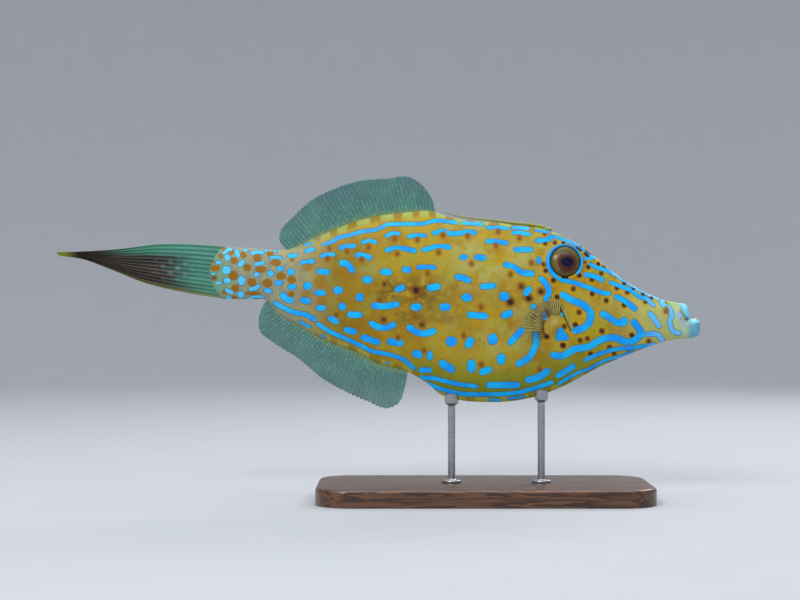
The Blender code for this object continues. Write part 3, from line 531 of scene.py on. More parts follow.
def path_distance(x: Grid, z: Grid, path: Grid, reach: float) -> Grid:
    """Distance from each place to an open line of points, which is the least over its segments.

    Args:
        x: first coordinate of the places.
        z: second coordinate of the places.
        path: points of the line.
        reach: past this distance the answer is only said to be at least that far.

    Returns:
        The distance at each place.
    """
    best = np.full(x.shape, reach)
    for start, end in zip(path[:-1], path[1:]):
        low = np.minimum(start, end) - reach
        high = np.maximum(start, end) + reach
        near = np.nonzero((x > low[0]) & (x < high[0]) & (z > low[1]) & (z < high[1]))
        step = end - start
        off_x = x[near] - start[0]
        off_z = z[near] - start[1]
        t = np.clip((off_x * step[0] + off_z * step[1]) / max(float(step @ step), TINY), 0, 1)
        found = np.hypot(off_x - t * step[0], off_z - t * step[1])
        best[near] = np.minimum(best[near], found)
    return best


def side_of_path(x: Grid, z: Grid, path: Grid) -> Grid:
    """Which side of a rising line a place is on: positive ahead of it, by its place at that height."""
    order = np.argsort(path[:, 1])
    return x - np.interp(z, path[order, 1], path[order, 0])


def quads_of(rows: int, columns: int, wrap: bool = False) -> Grid:
    """Four-sided faces of a grid of points.

    Args:
        rows: rows of points.
        columns: points in a row.
        wrap: whether the last column is joined to the first.

    Returns:
        Four corner numbers for each face.
    """
    number = np.arange(rows * columns).reshape(rows, columns)
    if wrap:
        number = np.concatenate([number, number[:, :1]], axis=1)
    corners = (number[:-1, :-1], number[:-1, 1:], number[1:, 1:], number[1:, :-1])
    return np.stack([corner.ravel() for corner in corners], axis=1)


def solid(
    name: str,
    points: Grid,
    quads: Grid,
    values: dict[str, Grid] | None = None,
    sharp: float | None = None,
) -> Piece:
    """A closed mesh piece. Equal points are made one, and the faces are turned outwards.

    The enclosed volume, a sixth of the sum of each triangle's corner triple product, tells by its
    sign which way the faces look.

    Args:
        name: the piece's name.
        points: corner places in metres, in any array shape that ends in three.
        quads: four corner numbers for each face.
        values: named values for each point, which the finish reads.
        sharp: edges bent by more than this angle in degrees stay sharp.

    Returns:
        The new object, at the origin.
    """
    points = points.reshape(-1, 3)
    keys = np.round(points / (SAME_POINT * MM)).astype(np.int64)
    _, first, same = np.unique(keys, axis=0, return_index=True, return_inverse=True)
    same = same.reshape(-1)
    corners = same[quads]
    kept = points[first]
    a, b, c, d = (kept[corners[:, side]] for side in range(4))
    volume = (np.cross(a, b) * c).sum() + (np.cross(a, c) * d).sum()
    if volume < 0:
        corners = corners[:, ::-1]
    distinct = corners != np.roll(corners, 1, axis=1)
    count = distinct.sum(axis=1)
    threes = corners[count == 3][distinct[count == 3]].reshape(-1, 3)
    threes = threes[(threes != np.roll(threes, 1, axis=1)).all(axis=1)]
    faces = corners[count == 4].tolist() + threes.tolist()
    mesh = bpy.data.meshes.new(name)
    mesh.from_pydata(kept.tolist(), [], faces)
    for key, array in (values or {}).items():
        stored = mesh.attributes.new(key, "FLOAT", "POINT")
        stored.data.foreach_set("value", np.asarray(array, dtype=np.float32).reshape(-1)[first])
    mesh.shade_smooth()
    if sharp is not None:
        mesh.set_sharp_from_angle(angle=math.radians(sharp))
    made = bpy.data.objects.new(name, mesh)
    bpy.context.scene.collection.objects.link(made)
    LOG.info("%s: %d faces", name, len(faces))
    return made


def sheet(middle: Grid, thickness: Grid, across: Grid) -> tuple[Grid, Grid]:
    """A thin closed sheet: the grid moved by half its thickness both ways, with a rim between.

    Args:
        middle: grid of points (rows, columns, 3).
        thickness: thickness at each point.
        across: unit direction, or directions, in which the thickness lies.

    Returns:
        Points and faces. Point k of the near face is followed on the far face by point k.
    """
    rows, columns = middle.shape[:2]
    half = np.broadcast_to(thickness, (rows, columns))[..., None] / 2 * across
    points = np.stack([middle - half, middle + half])
    number = np.arange(rows * columns).reshape(rows, columns)
    face = quads_of(rows, columns)
    total = rows * columns
    rim = np.concatenate([number[0, :-1], number[:-1, -1], number[-1, :0:-1], number[:0:-1, 0]])
    after = np.roll(rim, -1)
    wall = np.stack([after, rim, rim + total, after + total], axis=1)
    return points, np.concatenate([face, face[:, ::-1] + total, wall])


def tubes(paths: Grid, radii: Grid, sides: int) -> tuple[Grid, Grid]:
    """Round tubes with pointed ends: each ring is path + r (u cos a + v sin a), u and v across it.

    Args:
        paths: points of every tube (tubes, steps, 3).
        radii: radius at every point, which is shrunk to nothing at both ends.
        sides: points round each ring.

    Returns:
        Points and faces of all the tubes together.
    """
    ahead = unit(np.gradient(paths, axis=1))
    u = unit(np.cross(ahead, SIDEWAYS))
    v = np.cross(ahead, u)
    turn = np.linspace(0, 2 * np.pi, sides, endpoint=False)[:, None]
    rings = paths[:, :, None] + radii[:, :, None, None] * (
        u[:, :, None] * np.cos(turn) + v[:, :, None] * np.sin(turn)
    )
    first = np.broadcast_to(paths[:, :1, None], (*rings[:, :1].shape,))
    last = np.broadcast_to(paths[:, -1:, None], (*rings[:, :1].shape,))
    rings = np.concatenate([first, rings, last], axis=1)
    count, steps = rings.shape[:2]
    one = quads_of(steps, sides, wrap=True)
    quads = (one[None] + (np.arange(count) * steps * sides)[:, None, None]).reshape(-1, 4)
    return rings, quads


def lathe(profile: Path, centre: Pair, sides: int = 72) -> tuple[Grid, Grid]:
    """A turned solid: each (radius, height) of the profile goes once round an upright axis.

    Args:
        profile: (radius, height) pairs in mm, bottom to top.
        centre: the axis's (x, y) in mm.
        sides: points round each ring.

    Returns:
        Points and faces.
    """
    radius, height = np.array(profile, dtype=float).T * MM
    turn = np.linspace(0, 2 * np.pi, sides, endpoint=False)
    x = centre[0] * MM + radius[:, None] * np.cos(turn)
    y = centre[1] * MM + radius[:, None] * np.sin(turn)
    points = np.stack([x, y, np.broadcast_to(height[:, None], x.shape)], axis=-1)
    return points, quads_of(len(radius), sides, wrap=True)


def sharpness(x: Grid, down: Grid) -> Grid:
    """How sharply the body's section closes, from the back's value to the keel's."""
    return BACK_SHARPNESS + (smooth_line(KEEL_SHARPNESS, x) - BACK_SHARPNESS) * down


def skin_height(x: Grid, turn: Grid) -> Grid:
    """Height of the skin: back - (back - keel) d^1.12, where d = (1 - cos turn) / 2.

    Args:
        x: place along the body in mm.
        turn: angle round the section, 0 at the back and pi at the keel.

    Returns:
        The height in mm.
    """
    back = smooth_line(BACK_LINE, x)
    keel = smooth_line(KEEL_LINE, x)
    return back - (back - keel) * ((1 - np.cos(turn)) / 2) ** WIDEST_ABOVE_MIDDLE


def flank(x: Grid, z: Grid) -> Grid:
    """How far the skin stands off the mid-plane: half width times (2 sqrt(d (1 - d)))^sharpness.

    Args:
        x: place along the body in mm.
        z: height in mm.

    Returns:
        The distance in mm.
    """
    back = smooth_line(BACK_LINE, x)
    keel = smooth_line(KEEL_LINE, x)
    down = np.clip((back - z) / (back - keel), 0, 1) ** (1 / WIDEST_ABOVE_MIDDLE)
    return smooth_line(HALF_WIDTH, x) * (2 * np.sqrt(down * (1 - down))) ** sharpness(x, down)


def tail_root(z: Grid) -> Grid:
    """The rounded rear edge of the tail root in mm: a parabola in height."""
    off = (z - TAIL_ROOT_MIDDLE_Z) / TAIL_ROOT_HALF_HEIGHT
    return TAIL_ROOT_X - TAIL_ROOT_BULGE * np.clip(1 - off**2, 0, 1)


def photo_pixel(points: Grid) -> tuple[Grid, Grid]:
    """Pixel of the photograph at which a point shows, both flanks seen as the right one is.

    Args:
        points: places in metres.

    Returns:
        Pixels across and down. A place nearer to the camera by |y| is spread by away / (away - |y|).
    """
    x, y, z = np.moveaxis(points / MM, -1, 0)
    nearer = CAMERA_AWAY / (CAMERA_AWAY - np.abs(y)) / PIXEL
    return PHOTO_MIDDLE[0] + (x - MIDDLE_X) * nearer, PHOTO_MIDDLE[1] - (z - MIDDLE_Z) * nearer


def eye_frame(side: Side) -> tuple[Vector, Grid]:
    """Where an eyeball lies: on the flank, leaning with it by four fifths of its slope.

    Args:
        side: the flank.

    Returns:
        The ball's centre in metres, and its turn as a matrix whose third column looks out.
    """
    reach = EYE_RADIUS
    at = np.array([EYE_X - reach, EYE_X + reach, EYE_X, EYE_X, EYE_X])
    up = np.array([EYE_Z, EYE_Z, EYE_Z - reach, EYE_Z + reach, EYE_Z])
    rear, front, low, high, middle = flank(at, up)
    lean_ahead = (rear - front) / (2 * reach) * EYE_FOLLOWS_SKIN
    lean_up = (low - high) / (2 * reach) * EYE_FOLLOWS_SKIN
    out = Vector((lean_ahead, side.value, lean_up)).normalized()
    place = Vector((EYE_X, side.value * middle, EYE_Z)) + out * (EYE_STANDS_OUT - EYE_DEPTH)
    return place * MM, np.array(out.to_track_quat("Z", "Y").to_matrix())


@dataclass(frozen=True)
class Clouds:
    """Soft patches: noise of a size in mm, stepped smoothly from low to high."""

    size: float
    low: float
    high: float
    detail: float = 2
    stretch: Triple | None = None


@dataclass(frozen=True)
class Mark:
    """A mark's look: the stored distance that it reads, its colour, its soft edge in mm, its strength."""

    stored: str
    colour: Colour
    edge: Pair
    share: float = 1.0


class NodeBench:
    """Adds and links the nodes of one material, and keeps the colour that its layers are laid on.

    Sizes and depths are in millimetres.
    """

    def __init__(self, name: str) -> None:
        """Starts a node material.

        Args:
            name: its name.
        """
        self.material = bpy.data.materials.new(name)
        self.material.use_nodes = True
        self.tree = self.material.node_tree
        self.shader = self.tree.nodes["Principled BSDF"]
        self.place = self.tree.nodes.new("ShaderNodeTexCoord").outputs["Object"]
        self.colour: Feed = (0.0, 0.0, 0.0, 1.0)

    def feed(self, socket: Socket, value: Feed) -> None:
        """Links a socket to another, or sets it to a plain value.

        Args:
            socket: the socket that is fed.
            value: a socket, a number or a colour.
        """
        if isinstance(value, bpy.types.NodeSocket):
            self.tree.links.new(value, socket)
        else:
            socket.default_value = value

    def read(self, name: str) -> Socket:
        """A named value of the piece's points.

        Args:
            name: the value's name.

        Returns:
            The value.
        """
        node = self.tree.nodes.new("ShaderNodeAttribute")
        node.attribute_name = name
        return node.outputs["Fac"]

    def sum(self, operation: Sum, *values: Feed) -> Socket:
        """One step of arithmetic.

        Args:
            operation: what is done.
            values: one to three values.

        Returns:
            The result.
        """
        node = self.tree.nodes.new("ShaderNodeMath")
        node.operation = operation.value
        for socket, value in zip(node.inputs, values):
            self.feed(socket, value)
        return node.outputs[0]

    def plus(self, one: Feed, two: Feed) -> Socket:
        """Two values added."""
        return self.sum(Sum.PLUS, one, two)

    def times(self, one: Feed, two: Feed) -> Socket:
        """Two values multiplied."""
        return self.sum(Sum.TIMES, one, two)

    def step(self, value: Feed, low: float, high: float) -> Socket:
        """Smooth step.

        Args:
            value: what is stepped.
            low: the value at which the step is 0, which may be the greater of the two.
            high: the value at which it is 1.

        Returns:
            The step, 0 to 1.
        """
        node = self.tree.nodes.new("ShaderNodeMapRange")
        node.interpolation_type = "SMOOTHSTEP"
        for socket, part in zip(node.inputs, (value, low, high, 0.0, 1.0)):
            self.feed(socket, part)
        return node.outputs["Result"]

    def noise(self, size: float, detail: float = 2, stretch: Triple | None = None) -> Socket:
        """Soft noise.

        Args:
            size: how many millimetres its lumps are across.
            detail: how finely they are broken up.
            stretch: how much the piece's own coordinates are stretched along the axes, if at all.

        Returns:
            The noise, about 0 to 1.
        """
        place = self.place
        if stretch is not None:
            mapping = self.tree.nodes.new("ShaderNodeMapping")
            mapping.inputs["Scale"].default_value = stretch
            self.feed(mapping.inputs["Vector"], self.place)
            place = mapping.outputs["Vector"]
        node = self.tree.nodes.new("ShaderNodeTexNoise")
        self.feed(node.inputs["Vector"], place)
        node.inputs["Scale"].default_value = 1 / (size * MM)
        node.inputs["Detail"].default_value = detail
        return node.outputs["Fac"]

    def clouds(self, clouds: Clouds) -> Socket:
        """Soft patches, 0 to 1."""
        return self.step(self.noise(clouds.size, clouds.detail, clouds.stretch), clouds.low, clouds.high)

    def wobble(self, value: Socket, reach: float) -> Socket:
        """A noise of 0 to 1 as one of -reach to reach."""
        return self.sum(Sum.TIMES_PLUS, value, 2 * reach, -reach)

    def mix(self, amount: Feed, one: Feed, two: Feed) -> Socket:
        """Colour one turned into colour two.

        Args:
            amount: 0 to 1.
            one: the colour at 0.
            two: the colour at 1.

        Returns:
            The colour between.
        """
        node = self.tree.nodes.new("ShaderNodeMix")
        node.data_type = "RGBA"
        for number, value in ((0, amount), (6, one), (7, two)):
            self.feed(node.inputs[number], value)
        return node.outputs[2]

    def tint(self, colour: Feed, tone: Feed, amount: Socket, share: float = 1.0) -> Socket:
        """A colour turned into a tone by a share of an amount from 0 to 1."""
        return self.mix(amount if share == 1.0 else self.times(amount, share), colour, tone)

    def lay(self, tone: Feed, amount: Socket, share: float = 1.0) -> None:
        """Lays a tone over the bench's colour by a share of an amount from 0 to 1."""
        self.colour = self.tint(self.colour, tone, amount, share)

    def mark(self, stored: str, edge: Pair, wobble: Socket | None = None) -> Socket:
        """Amount of a mark, from its outline's stored distance, wobbled, and the two at its soft edge."""
        away = self.read(stored)
        return self.step(away if wobble is None else self.plus(away, wobble), *edge)

    def paint(self, marks: tuple[Mark, ...], wobble: Socket | None = None) -> None:
        """Lays marks over the bench's colour.

        Args:
            marks: the marks, lowest first.
            wobble: what is added to their distances, if anything.
        """
        for mark in marks:
            self.lay(mark.colour, self.mark(mark.stored, mark.edge, wobble), mark.share)

    def ramp(self, value: Feed, stops: tuple[tuple[float, Colour], ...]) -> Socket:
        """Colours along a value.

        Args:
            value: 0 to 1.
            stops: (value, colour) pairs in rising order.

        Returns:
            The colour at the value.
        """
        node = self.tree.nodes.new("ShaderNodeValToRGB")
        elements = node.color_ramp.elements
        while len(elements) < len(stops):
            elements.new(0.5)
        for element, (place, colour) in zip(elements, stops):
            element.position = place
            element.color = colour
        self.feed(node.inputs["Fac"], value)
        return node.outputs["Color"]

    def bump(self, height: Socket, strength: float, depth: float, under: Socket | None = None) -> Socket:
        """A bump in the surface.

        Args:
            height: its height, 0 to 1.
            strength: how much of it shows.
            depth: how many millimetres a height of 1 stands for.
            under: another bump that it lies on, if any.

        Returns:
            The bent normal.
        """
        node = self.tree.nodes.new("ShaderNodeBump")
        node.inputs["Strength"].default_value = strength
        node.inputs["Distance"].default_value = depth * MM
        self.feed(node.inputs["Height"], height)
        if under is not None:
            self.feed(node.inputs["Normal"], under)
        return node.outputs["Normal"]

    def finish(self, **sockets: Feed) -> Finish:
        """Sets the shader's sockets.

        Args:
            sockets: values by the socket's name, with _ for a space.

        Returns:
            The finished material.
        """
        for name, value in sockets.items():
            self.feed(self.shader.inputs[name.replace("_", " ")], value)
        return self.material


@dataclass(frozen=True)
class SkinFinish:
    """Velvety filefish skin: ochre ground, blue strokes, dark dots and a spotted tail root."""

    ochre: Colour = srgb(184, 149, 12)
    deep_ochre: Colour = srgb(160, 119, 2)
    warm: Colour = srgb(188, 132, 14)
    lime: Colour = srgb(164, 160, 50)
    khaki: Colour = srgb(190, 202, 124)
    pale: Colour = srgb(172, 170, 98)
    dusky: Colour = srgb(116, 78, 14)
    olive: Colour = srgb(98, 126, 22)
    shadow: Colour = srgb(98, 76, 10)
    margin: Colour = srgb(150, 168, 80)
    margin_blotch: Colour = srgb(138, 108, 6)
    keel_edge: Colour = srgb(176, 170, 70)
    ochre_clouds: Clouds = Clouds(26, 0.36, 0.66, 3)
    lime_clouds: Clouds = Clouds(11, 0.46, 0.64, stretch=(1, 0.3, 1))
    rust_clouds: Clouds = Clouds(7.5, 0.6, 0.72, stretch=(1, 0.3, 1.2))
    pale_clouds: Clouds = Clouds(9, 0.3, 0.6, 3)
    dusky_clouds: Clouds = Clouds(7, 0.25, 0.6, 3)
    flecks: Clouds = Clouds(1.6, 0.52, 0.7, 3)
    blotch_edge: Pair = (0.45, 0.75)

    tail_net: Colour = srgb(136, 140, 124)
    tail_end: Colour = srgb(96, 156, 128)
    net_clouds: Clouds = Clouds(6, 0.35, 0.7)
    tail_marks: tuple[Mark, ...] = (
        Mark("ochre_spot", srgb(150, 110, 0), (0.9, -1.2), 0.8),
        Mark("tail_spot", srgb(146, 100, 0), (0.7, -0.7)),
    )

    soft_spot: Colour = srgb(122, 74, 0)
    soft_spot_edge: Pair = (0.2, 0.66)
    soft_halo: Colour = srgb(166, 112, 0)
    soft_halo_edge: Pair = (0.04, 0.3)
    dark_dot: Colour = srgb(50, 20, 6)
    brown_dot: Colour = srgb(92, 52, 4)
    dot_clouds: Clouds = Clouds(8, 0.42, 0.62, 1)
    halo_rings: tuple[Mark, ...] = (Mark("halo", srgb(138, 88, 14), (2.6, 0.6), 0.6),)
    halo_edge: Pair = (1.3, -2.0)
    dot_rings: tuple[Mark, ...] = (
        Mark("dot", srgb(194, 158, 4), (4.2, 1.4), 0.5),
        Mark("dot", srgb(138, 88, 14), (1.5, 0.3), 0.6),
    )
    dot_edge: Pair = (0.85, -1.0)
    # Painted brown shade behind the gill slit and the chest fin's lobe
    brown_shade_lines: tuple[Mark, ...] = (Mark("brown_shade_line", srgb(50, 20, 6), (0.5, -0.5), 0.8),)

    blue: Colour = srgb(0, 152, 248)
    bright_blue: Colour = srgb(0, 184, 252)
    pale_blue: Colour = srgb(82, 198, 248)
    snout_blue: Colour = srgb(120, 194, 250)
    snout_blue_edge: Pair = (0.7, 1.0)
    blue_clouds: Clouds = Clouds(14, 0.35, 0.65)
    blue_rims: tuple[Mark, ...] = (Mark("stroke", srgb(52, 84, 40), (0.78, 0.3), 0.85),)
    blue_edge: Pair = (0.3, -0.2)
    stroke_marks: tuple[Mark, ...] = (
        Mark("dash", srgb(14, 16, 34), (0.25, -0.25)),
        Mark("gill_lip", srgb(150, 180, 130), (0.3, -0.5), 0.8),
    )

    lip: Colour = srgb(80, 174, 206)
    lip_grey: Colour = srgb(126, 176, 194)
    lip_cream: Colour = srgb(172, 204, 172)
    # White of the lips' edges; on the upper lip's front rim it is partly a painted highlight
    lip_white_and_highlight: Colour = srgb(128, 218, 240)
    lip_clouds: Clouds = Clouds(4, 0.35, 0.7)
    lip_marks: tuple[Mark, ...] = (
        # Painted mauve shade in the lips' crease
        Mark("lip_crease_shade", srgb(96, 92, 122), (1.4, -0.6), 0.6),
        Mark("lip_stroke", srgb(134, 184, 250), (0.4, -0.6), 0.9),
    )

    def make(self) -> Finish:
        """Builds the skin's material, layer by layer.

        Returns:
            The material.
        """
        bench = NodeBench("filefish_skin")
        for layer in (self.ground, self.tail, self.lips, self.spots, self.strokes):
            layer(bench)
        swell = bench.bump(bench.noise(4.0), strength=0.3, depth=0.35)
        normal = bench.bump(bench.noise(0.55, 3), strength=0.35, depth=0.12, under=swell)
        rough = bench.sum(Sum.TIMES_PLUS, bench.noise(2.2), 0.18, 0.44)
        return bench.finish(
            Base_Color=bench.colour, Roughness=rough, Normal=normal, Specular_IOR_Level=0.25,
            Coat_Weight=0.04, Coat_Roughness=0.35,
        )

    def ground(self, bench: NodeBench) -> None:
        """The ground: two ochres in clouds, with lime and rust in them, and a khaki snout.

        Over them lie the pale zones, one of which is a painted highlight on the chest fin's lobe, and the
        dusky, olive and shaded zones, the blotched margins along back and keel, and fine flecks.

        Args:
            bench: the material's bench.
        """
        bench.colour = bench.mix(bench.clouds(self.ochre_clouds), self.ochre, self.deep_ochre)
        bench.lay(self.warm, bench.read("warm"))
        bench.lay(self.lime, bench.clouds(self.lime_clouds), share=0.6)
        bench.lay(self.warm, bench.clouds(self.rust_clouds), share=0.55)
        bench.lay(self.khaki, bench.read("snout"), share=0.75)
        # Pale zones, which include a painted highlight on the chest fin's lobe
        bench.lay(self.pale, bench.times(bench.read("pale"), bench.clouds(self.pale_clouds)))
        bench.lay(self.dusky, bench.times(bench.read("dusky"), bench.clouds(self.dusky_clouds)))
        bench.lay(self.olive, bench.read("olive"))
        bench.lay(self.shadow, bench.read("shadow"))
        patchy = bench.wobble(bench.noise(6), reach=0.3)
        blotch = bench.step(bench.plus(bench.read("margin_band"), patchy), *self.blotch_edge)
        bench.lay(bench.mix(blotch, self.margin, self.margin_blotch), bench.read("margin"))
        keel = bench.tint(self.keel_edge, self.margin_blotch, blotch, share=0.7)
        bench.lay(keel, bench.read("keel_edge"), share=0.8)
        bench.lay(self.olive, bench.clouds(self.flecks), share=0.25)

    def tail(self, bench: NodeBench) -> None:
        """The tail root: a lilac-tan net, green at its end, with large ochre and small orange spots.

        Args:
            bench: the material's bench.
        """
        net = bench.tint(self.tail_net, self.pale, bench.clouds(self.net_clouds), share=0.5)
        net = bench.tint(net, self.tail_end, bench.read("tail_end"), share=0.8)
        bench.lay(net, bench.read("tail"))
        bench.paint(self.tail_marks, bench.wobble(bench.noise(2.5, 1), reach=0.7))

    def lips(self, bench: NodeBench) -> None:
        """Teal lips with white edges, the white on the upper lip's front rim partly a painted highlight, a
        cream cheek behind them, the painted mauve shade of their crease and their strokes.

        Args:
            bench: the material's bench.
        """
        bench.lay(self.lip_cream, bench.read("cream"))
        tone = bench.mix(bench.clouds(self.lip_clouds), self.lip, self.lip_grey)
        # White edges at the parting and on top; the white on top is partly a painted highlight
        white = bench.sum(Sum.GREATER, bench.read("lip_edge"), bench.read("lip_top_white_and_highlight"))
        bench.lay(bench.tint(tone, self.lip_white_and_highlight, white, share=0.9), bench.read("lip"))
        bench.paint(self.lip_marks)

    def spots(self, bench: NodeBench) -> None:
        """Soft brown spots, brown spots with a halo, the head's dark dots in yellow rings, and painted brown
        shade behind the gill slit and the chest fin's lobe.

        Args:
            bench: the material's bench.
        """
        wobble = bench.wobble(bench.noise(1.5, 1), reach=0.7)
        soft = bench.read("soft")
        bench.lay(self.soft_halo, bench.step(soft, *self.soft_halo_edge), share=0.5)
        bench.lay(self.soft_spot, bench.step(soft, *self.soft_spot_edge), share=0.9)
        deep = bench.mix(bench.clouds(self.dot_clouds), self.dark_dot, self.brown_dot)
        bench.paint(self.halo_rings, wobble)
        bench.lay(deep, bench.mark("halo", self.halo_edge, wobble))
        bench.paint(self.dot_rings, wobble)
        bench.lay(deep, bench.mark("dot", self.dot_edge, wobble))
        bench.paint(self.brown_shade_lines)

    def strokes(self, bench: NodeBench) -> None:
        """Blue strokes with a thin dark green edge, paler on the tail root and the snout, and dashes.

        Args:
            bench: the material's bench.
        """
        wobble = bench.wobble(bench.noise(3.0), reach=0.45)
        bench.paint(self.blue_rims, wobble)
        blue = bench.mix(bench.clouds(self.blue_clouds), self.blue, self.bright_blue)
        blue = bench.tint(blue, self.pale_blue, bench.read("pale_stroke"))
        snout = bench.step(bench.read("snout"), *self.snout_blue_edge)
        blue = bench.tint(blue, self.snout_blue, snout, share=0.7)
        bench.lay(blue, bench.mark("stroke", self.blue_edge, wobble))
        bench.paint(self.stroke_marks)


@dataclass(frozen=True)
class EyeFinish:
    """A glossy eye: navy pupil, red-brown ring, olive-grey outer iris, a tan arc behind, and a painted grey
    sheen (a reflection) above the pupil.
    """

    pupil: Colour = srgb(10, 8, 48)
    pupil_edge: Pair = (0.25, -0.15)
    inner: Colour = srgb(74, 34, 26)
    middle: Colour = srgb(92, 58, 24)
    outer: Colour = srgb(90, 82, 28)
    ring_ends: Triple = (0.5, 0.62, 0.72)
    rim: Colour = srgb(40, 44, 20)
    rim_edge: Pair = (EYE_OPENING - 1.6, EYE_OPENING - 0.2)
    arc: Colour = srgb(140, 108, 62)
    arc_clouds: Clouds = Clouds(1.6, 0.25, 0.6)
    # Painted reflection: a grey sheen laid over the iris above the pupil
    painted_sheen: Colour = srgb(98, 102, 98)

    def make(self) -> Finish:
        """Builds the eye's material from the distances and amounts stored on its points.

        Returns:
            The material.
        """
        bench = NodeBench("filefish_eye")
        away = bench.sum(Sum.OVER, bench.read("away"), EYE_RADIUS)
        streak = bench.wobble(bench.noise(1.1, 3), reach=0.08)
        tones = (self.inner, self.inner, self.middle, self.outer)
        bench.colour = bench.ramp(bench.plus(away, streak), tuple(zip((0.0, *self.ring_ends), tones)))
        bench.lay(self.rim, bench.mark("edge", self.rim_edge))
        bench.lay(self.arc, bench.times(bench.read("arc"), bench.clouds(self.arc_clouds)))
        bench.lay(self.painted_sheen, bench.read("painted_sheen"))
        bench.lay(self.pupil, bench.mark("pupil", self.pupil_edge))
        return bench.finish(
            Base_Color=bench.colour, Roughness=0.4, Specular_IOR_Level=0.15,
            Coat_Weight=0.2, Coat_Roughness=0.1,
        )


@dataclass(frozen=True)
class FinFinish:
    """A fin's clear membrane or its rays, flecked along their length and tinted at their root."""

    name: str
    colour: Colour
    fleck: Colour
    root: Colour
    fleck_size: float = 5
    alpha: float = 1.0
    rough: float = 0.45
    fleck_edge: Pair = (0.45, 0.62)

    def make(self) -> Finish:
        """Builds the material.

        Returns:
            The material.
        """
        bench = NodeBench(self.name)
        flecks = bench.clouds(Clouds(self.fleck_size, *self.fleck_edge))
        bench.colour = bench.mix(flecks, self.colour, self.fleck)
        bench.lay(self.root, bench.read("root"), share=0.8)
        normal = bench.bump(bench.noise(0.7), strength=0.25, depth=0.08)
        return bench.finish(
            Base_Color=bench.colour, Roughness=self.rough, Normal=normal, Alpha=self.alpha,
        )


@dataclass(frozen=True)
class TailFinish:
    """The folded tail fin: teal above and at the root, dark brown below, blue flecks, a yellow tip."""

    teal: Colour = srgb(46, 128, 106)
    band_up: Pair = (0.66, 0.86)
    band_along: Pair = (0.8, 0.45)
    root_along: Pair = (0.34, 0.04)
    brown: Colour = srgb(22, 13, 12)
    red_brown: Colour = srgb(52, 26, 18)
    brown_edge: Pair = (0.35, 0.65)
    ray: Colour = srgb(74, 86, 66)
    ray_clouds: Clouds = Clouds(2.2, 0.2, 0.7)
    tip: Colour = srgb(190, 196, 70)
    tip_along: Pair = (0.86, 0.98)
    edge: Colour = srgb(104, 106, 42)
    edge_up: Pair = (0.13, 0.02)
    fleck: Colour = srgb(92, 146, 170)

    def make(self) -> Finish:
        """Builds the material from the place along and up the fin, stored on its points.

        Returns:
            The material.
        """
        bench = NodeBench("filefish_tail_fin")
        along = bench.read("along")
        up = bench.read("up")
        streak = bench.noise(5, 3, stretch=(0.12, 1, 1))
        brown = bench.mix(bench.step(streak, *self.brown_edge), self.brown, self.red_brown)
        high = bench.step(bench.plus(bench.wobble(streak, reach=0.14), up), *self.band_up)
        band = bench.times(high, bench.step(along, *self.band_along))
        root = bench.step(bench.plus(bench.wobble(streak, reach=0.15), along), *self.root_along)
        bench.colour = bench.mix(bench.sum(Sum.GREATER, band, root), brown, self.teal)
        bench.lay(self.ray, bench.times(bench.read("ray"), bench.clouds(self.ray_clouds)), share=0.42)
        bench.lay(self.fleck, bench.read("fleck"), share=0.65)
        bench.lay(self.edge, bench.step(up, *self.edge_up), share=0.7)
        bench.lay(self.tip, bench.step(along, *self.tip_along))
        fine = bench.bump(bench.noise(0.7), strength=0.3, depth=0.08)
        normal = bench.bump(streak, strength=0.25, depth=0.3, under=fine)
        return bench.finish(Base_Color=bench.colour, Roughness=0.48, Normal=normal, Coat_Weight=0.1)


@dataclass(frozen=True)
class EnamelFinish:
    """Off-white tooth enamel in two tones."""

    light: Colour = srgb(238, 240, 232)
    dark: Colour = srgb(216, 222, 204)
    clouds: Clouds = Clouds(1.5, 0.3, 0.7)

    def make(self) -> Finish:
        """Builds the material.

        Returns:
            The material.
        """
        bench = NodeBench("filefish_teeth")
        tone = bench.mix(bench.clouds(self.clouds), self.light, self.dark)
        normal = bench.bump(bench.noise(0.5), strength=0.1, depth=0.05)
        return bench.finish(Base_Color=tone, Roughness=0.22, Normal=normal, Coat_Weight=0.4)


@dataclass(frozen=True)
class WoodFinish:
    """Dark stained board: growth rings drawn out along the grain, under satin lacquer."""

    light: Colour = srgb(104, 66, 40)
    dark: Colour = srgb(52, 30, 18)
    rings: float = 9.0
    ring_edge: Pair = (0.15, 0.95)
    pore_edge: Pair = (0.58, 0.7)

    def make(self) -> Finish:
        """Builds the material: the rings are the fraction of the grain's noise times their number.

        Returns:
            The material.
        """
        bench = NodeBench("stand_wood")
        grain = bench.noise(14, 4, stretch=(0.09, 1, 1))
        rings = bench.sum(Sum.FRACTION, bench.times(grain, self.rings))
        tone = bench.mix(bench.step(rings, *self.ring_edge), self.light, self.dark)
        pores = bench.noise(1.1, stretch=(0.06, 1, 1))
        tone = bench.tint(tone, self.dark, bench.step(pores, *self.pore_edge), share=0.7)
        rough = bench.sum(Sum.TIMES_PLUS, pores, 0.2, 0.26)
        relief = bench.bump(rings, strength=0.08, depth=0.2)
        normal = bench.bump(pores, strength=0.25, depth=0.12, under=relief)
        return bench.finish(Base_Color=tone, Roughness=rough, Normal=normal, Coat_Weight=0.25)


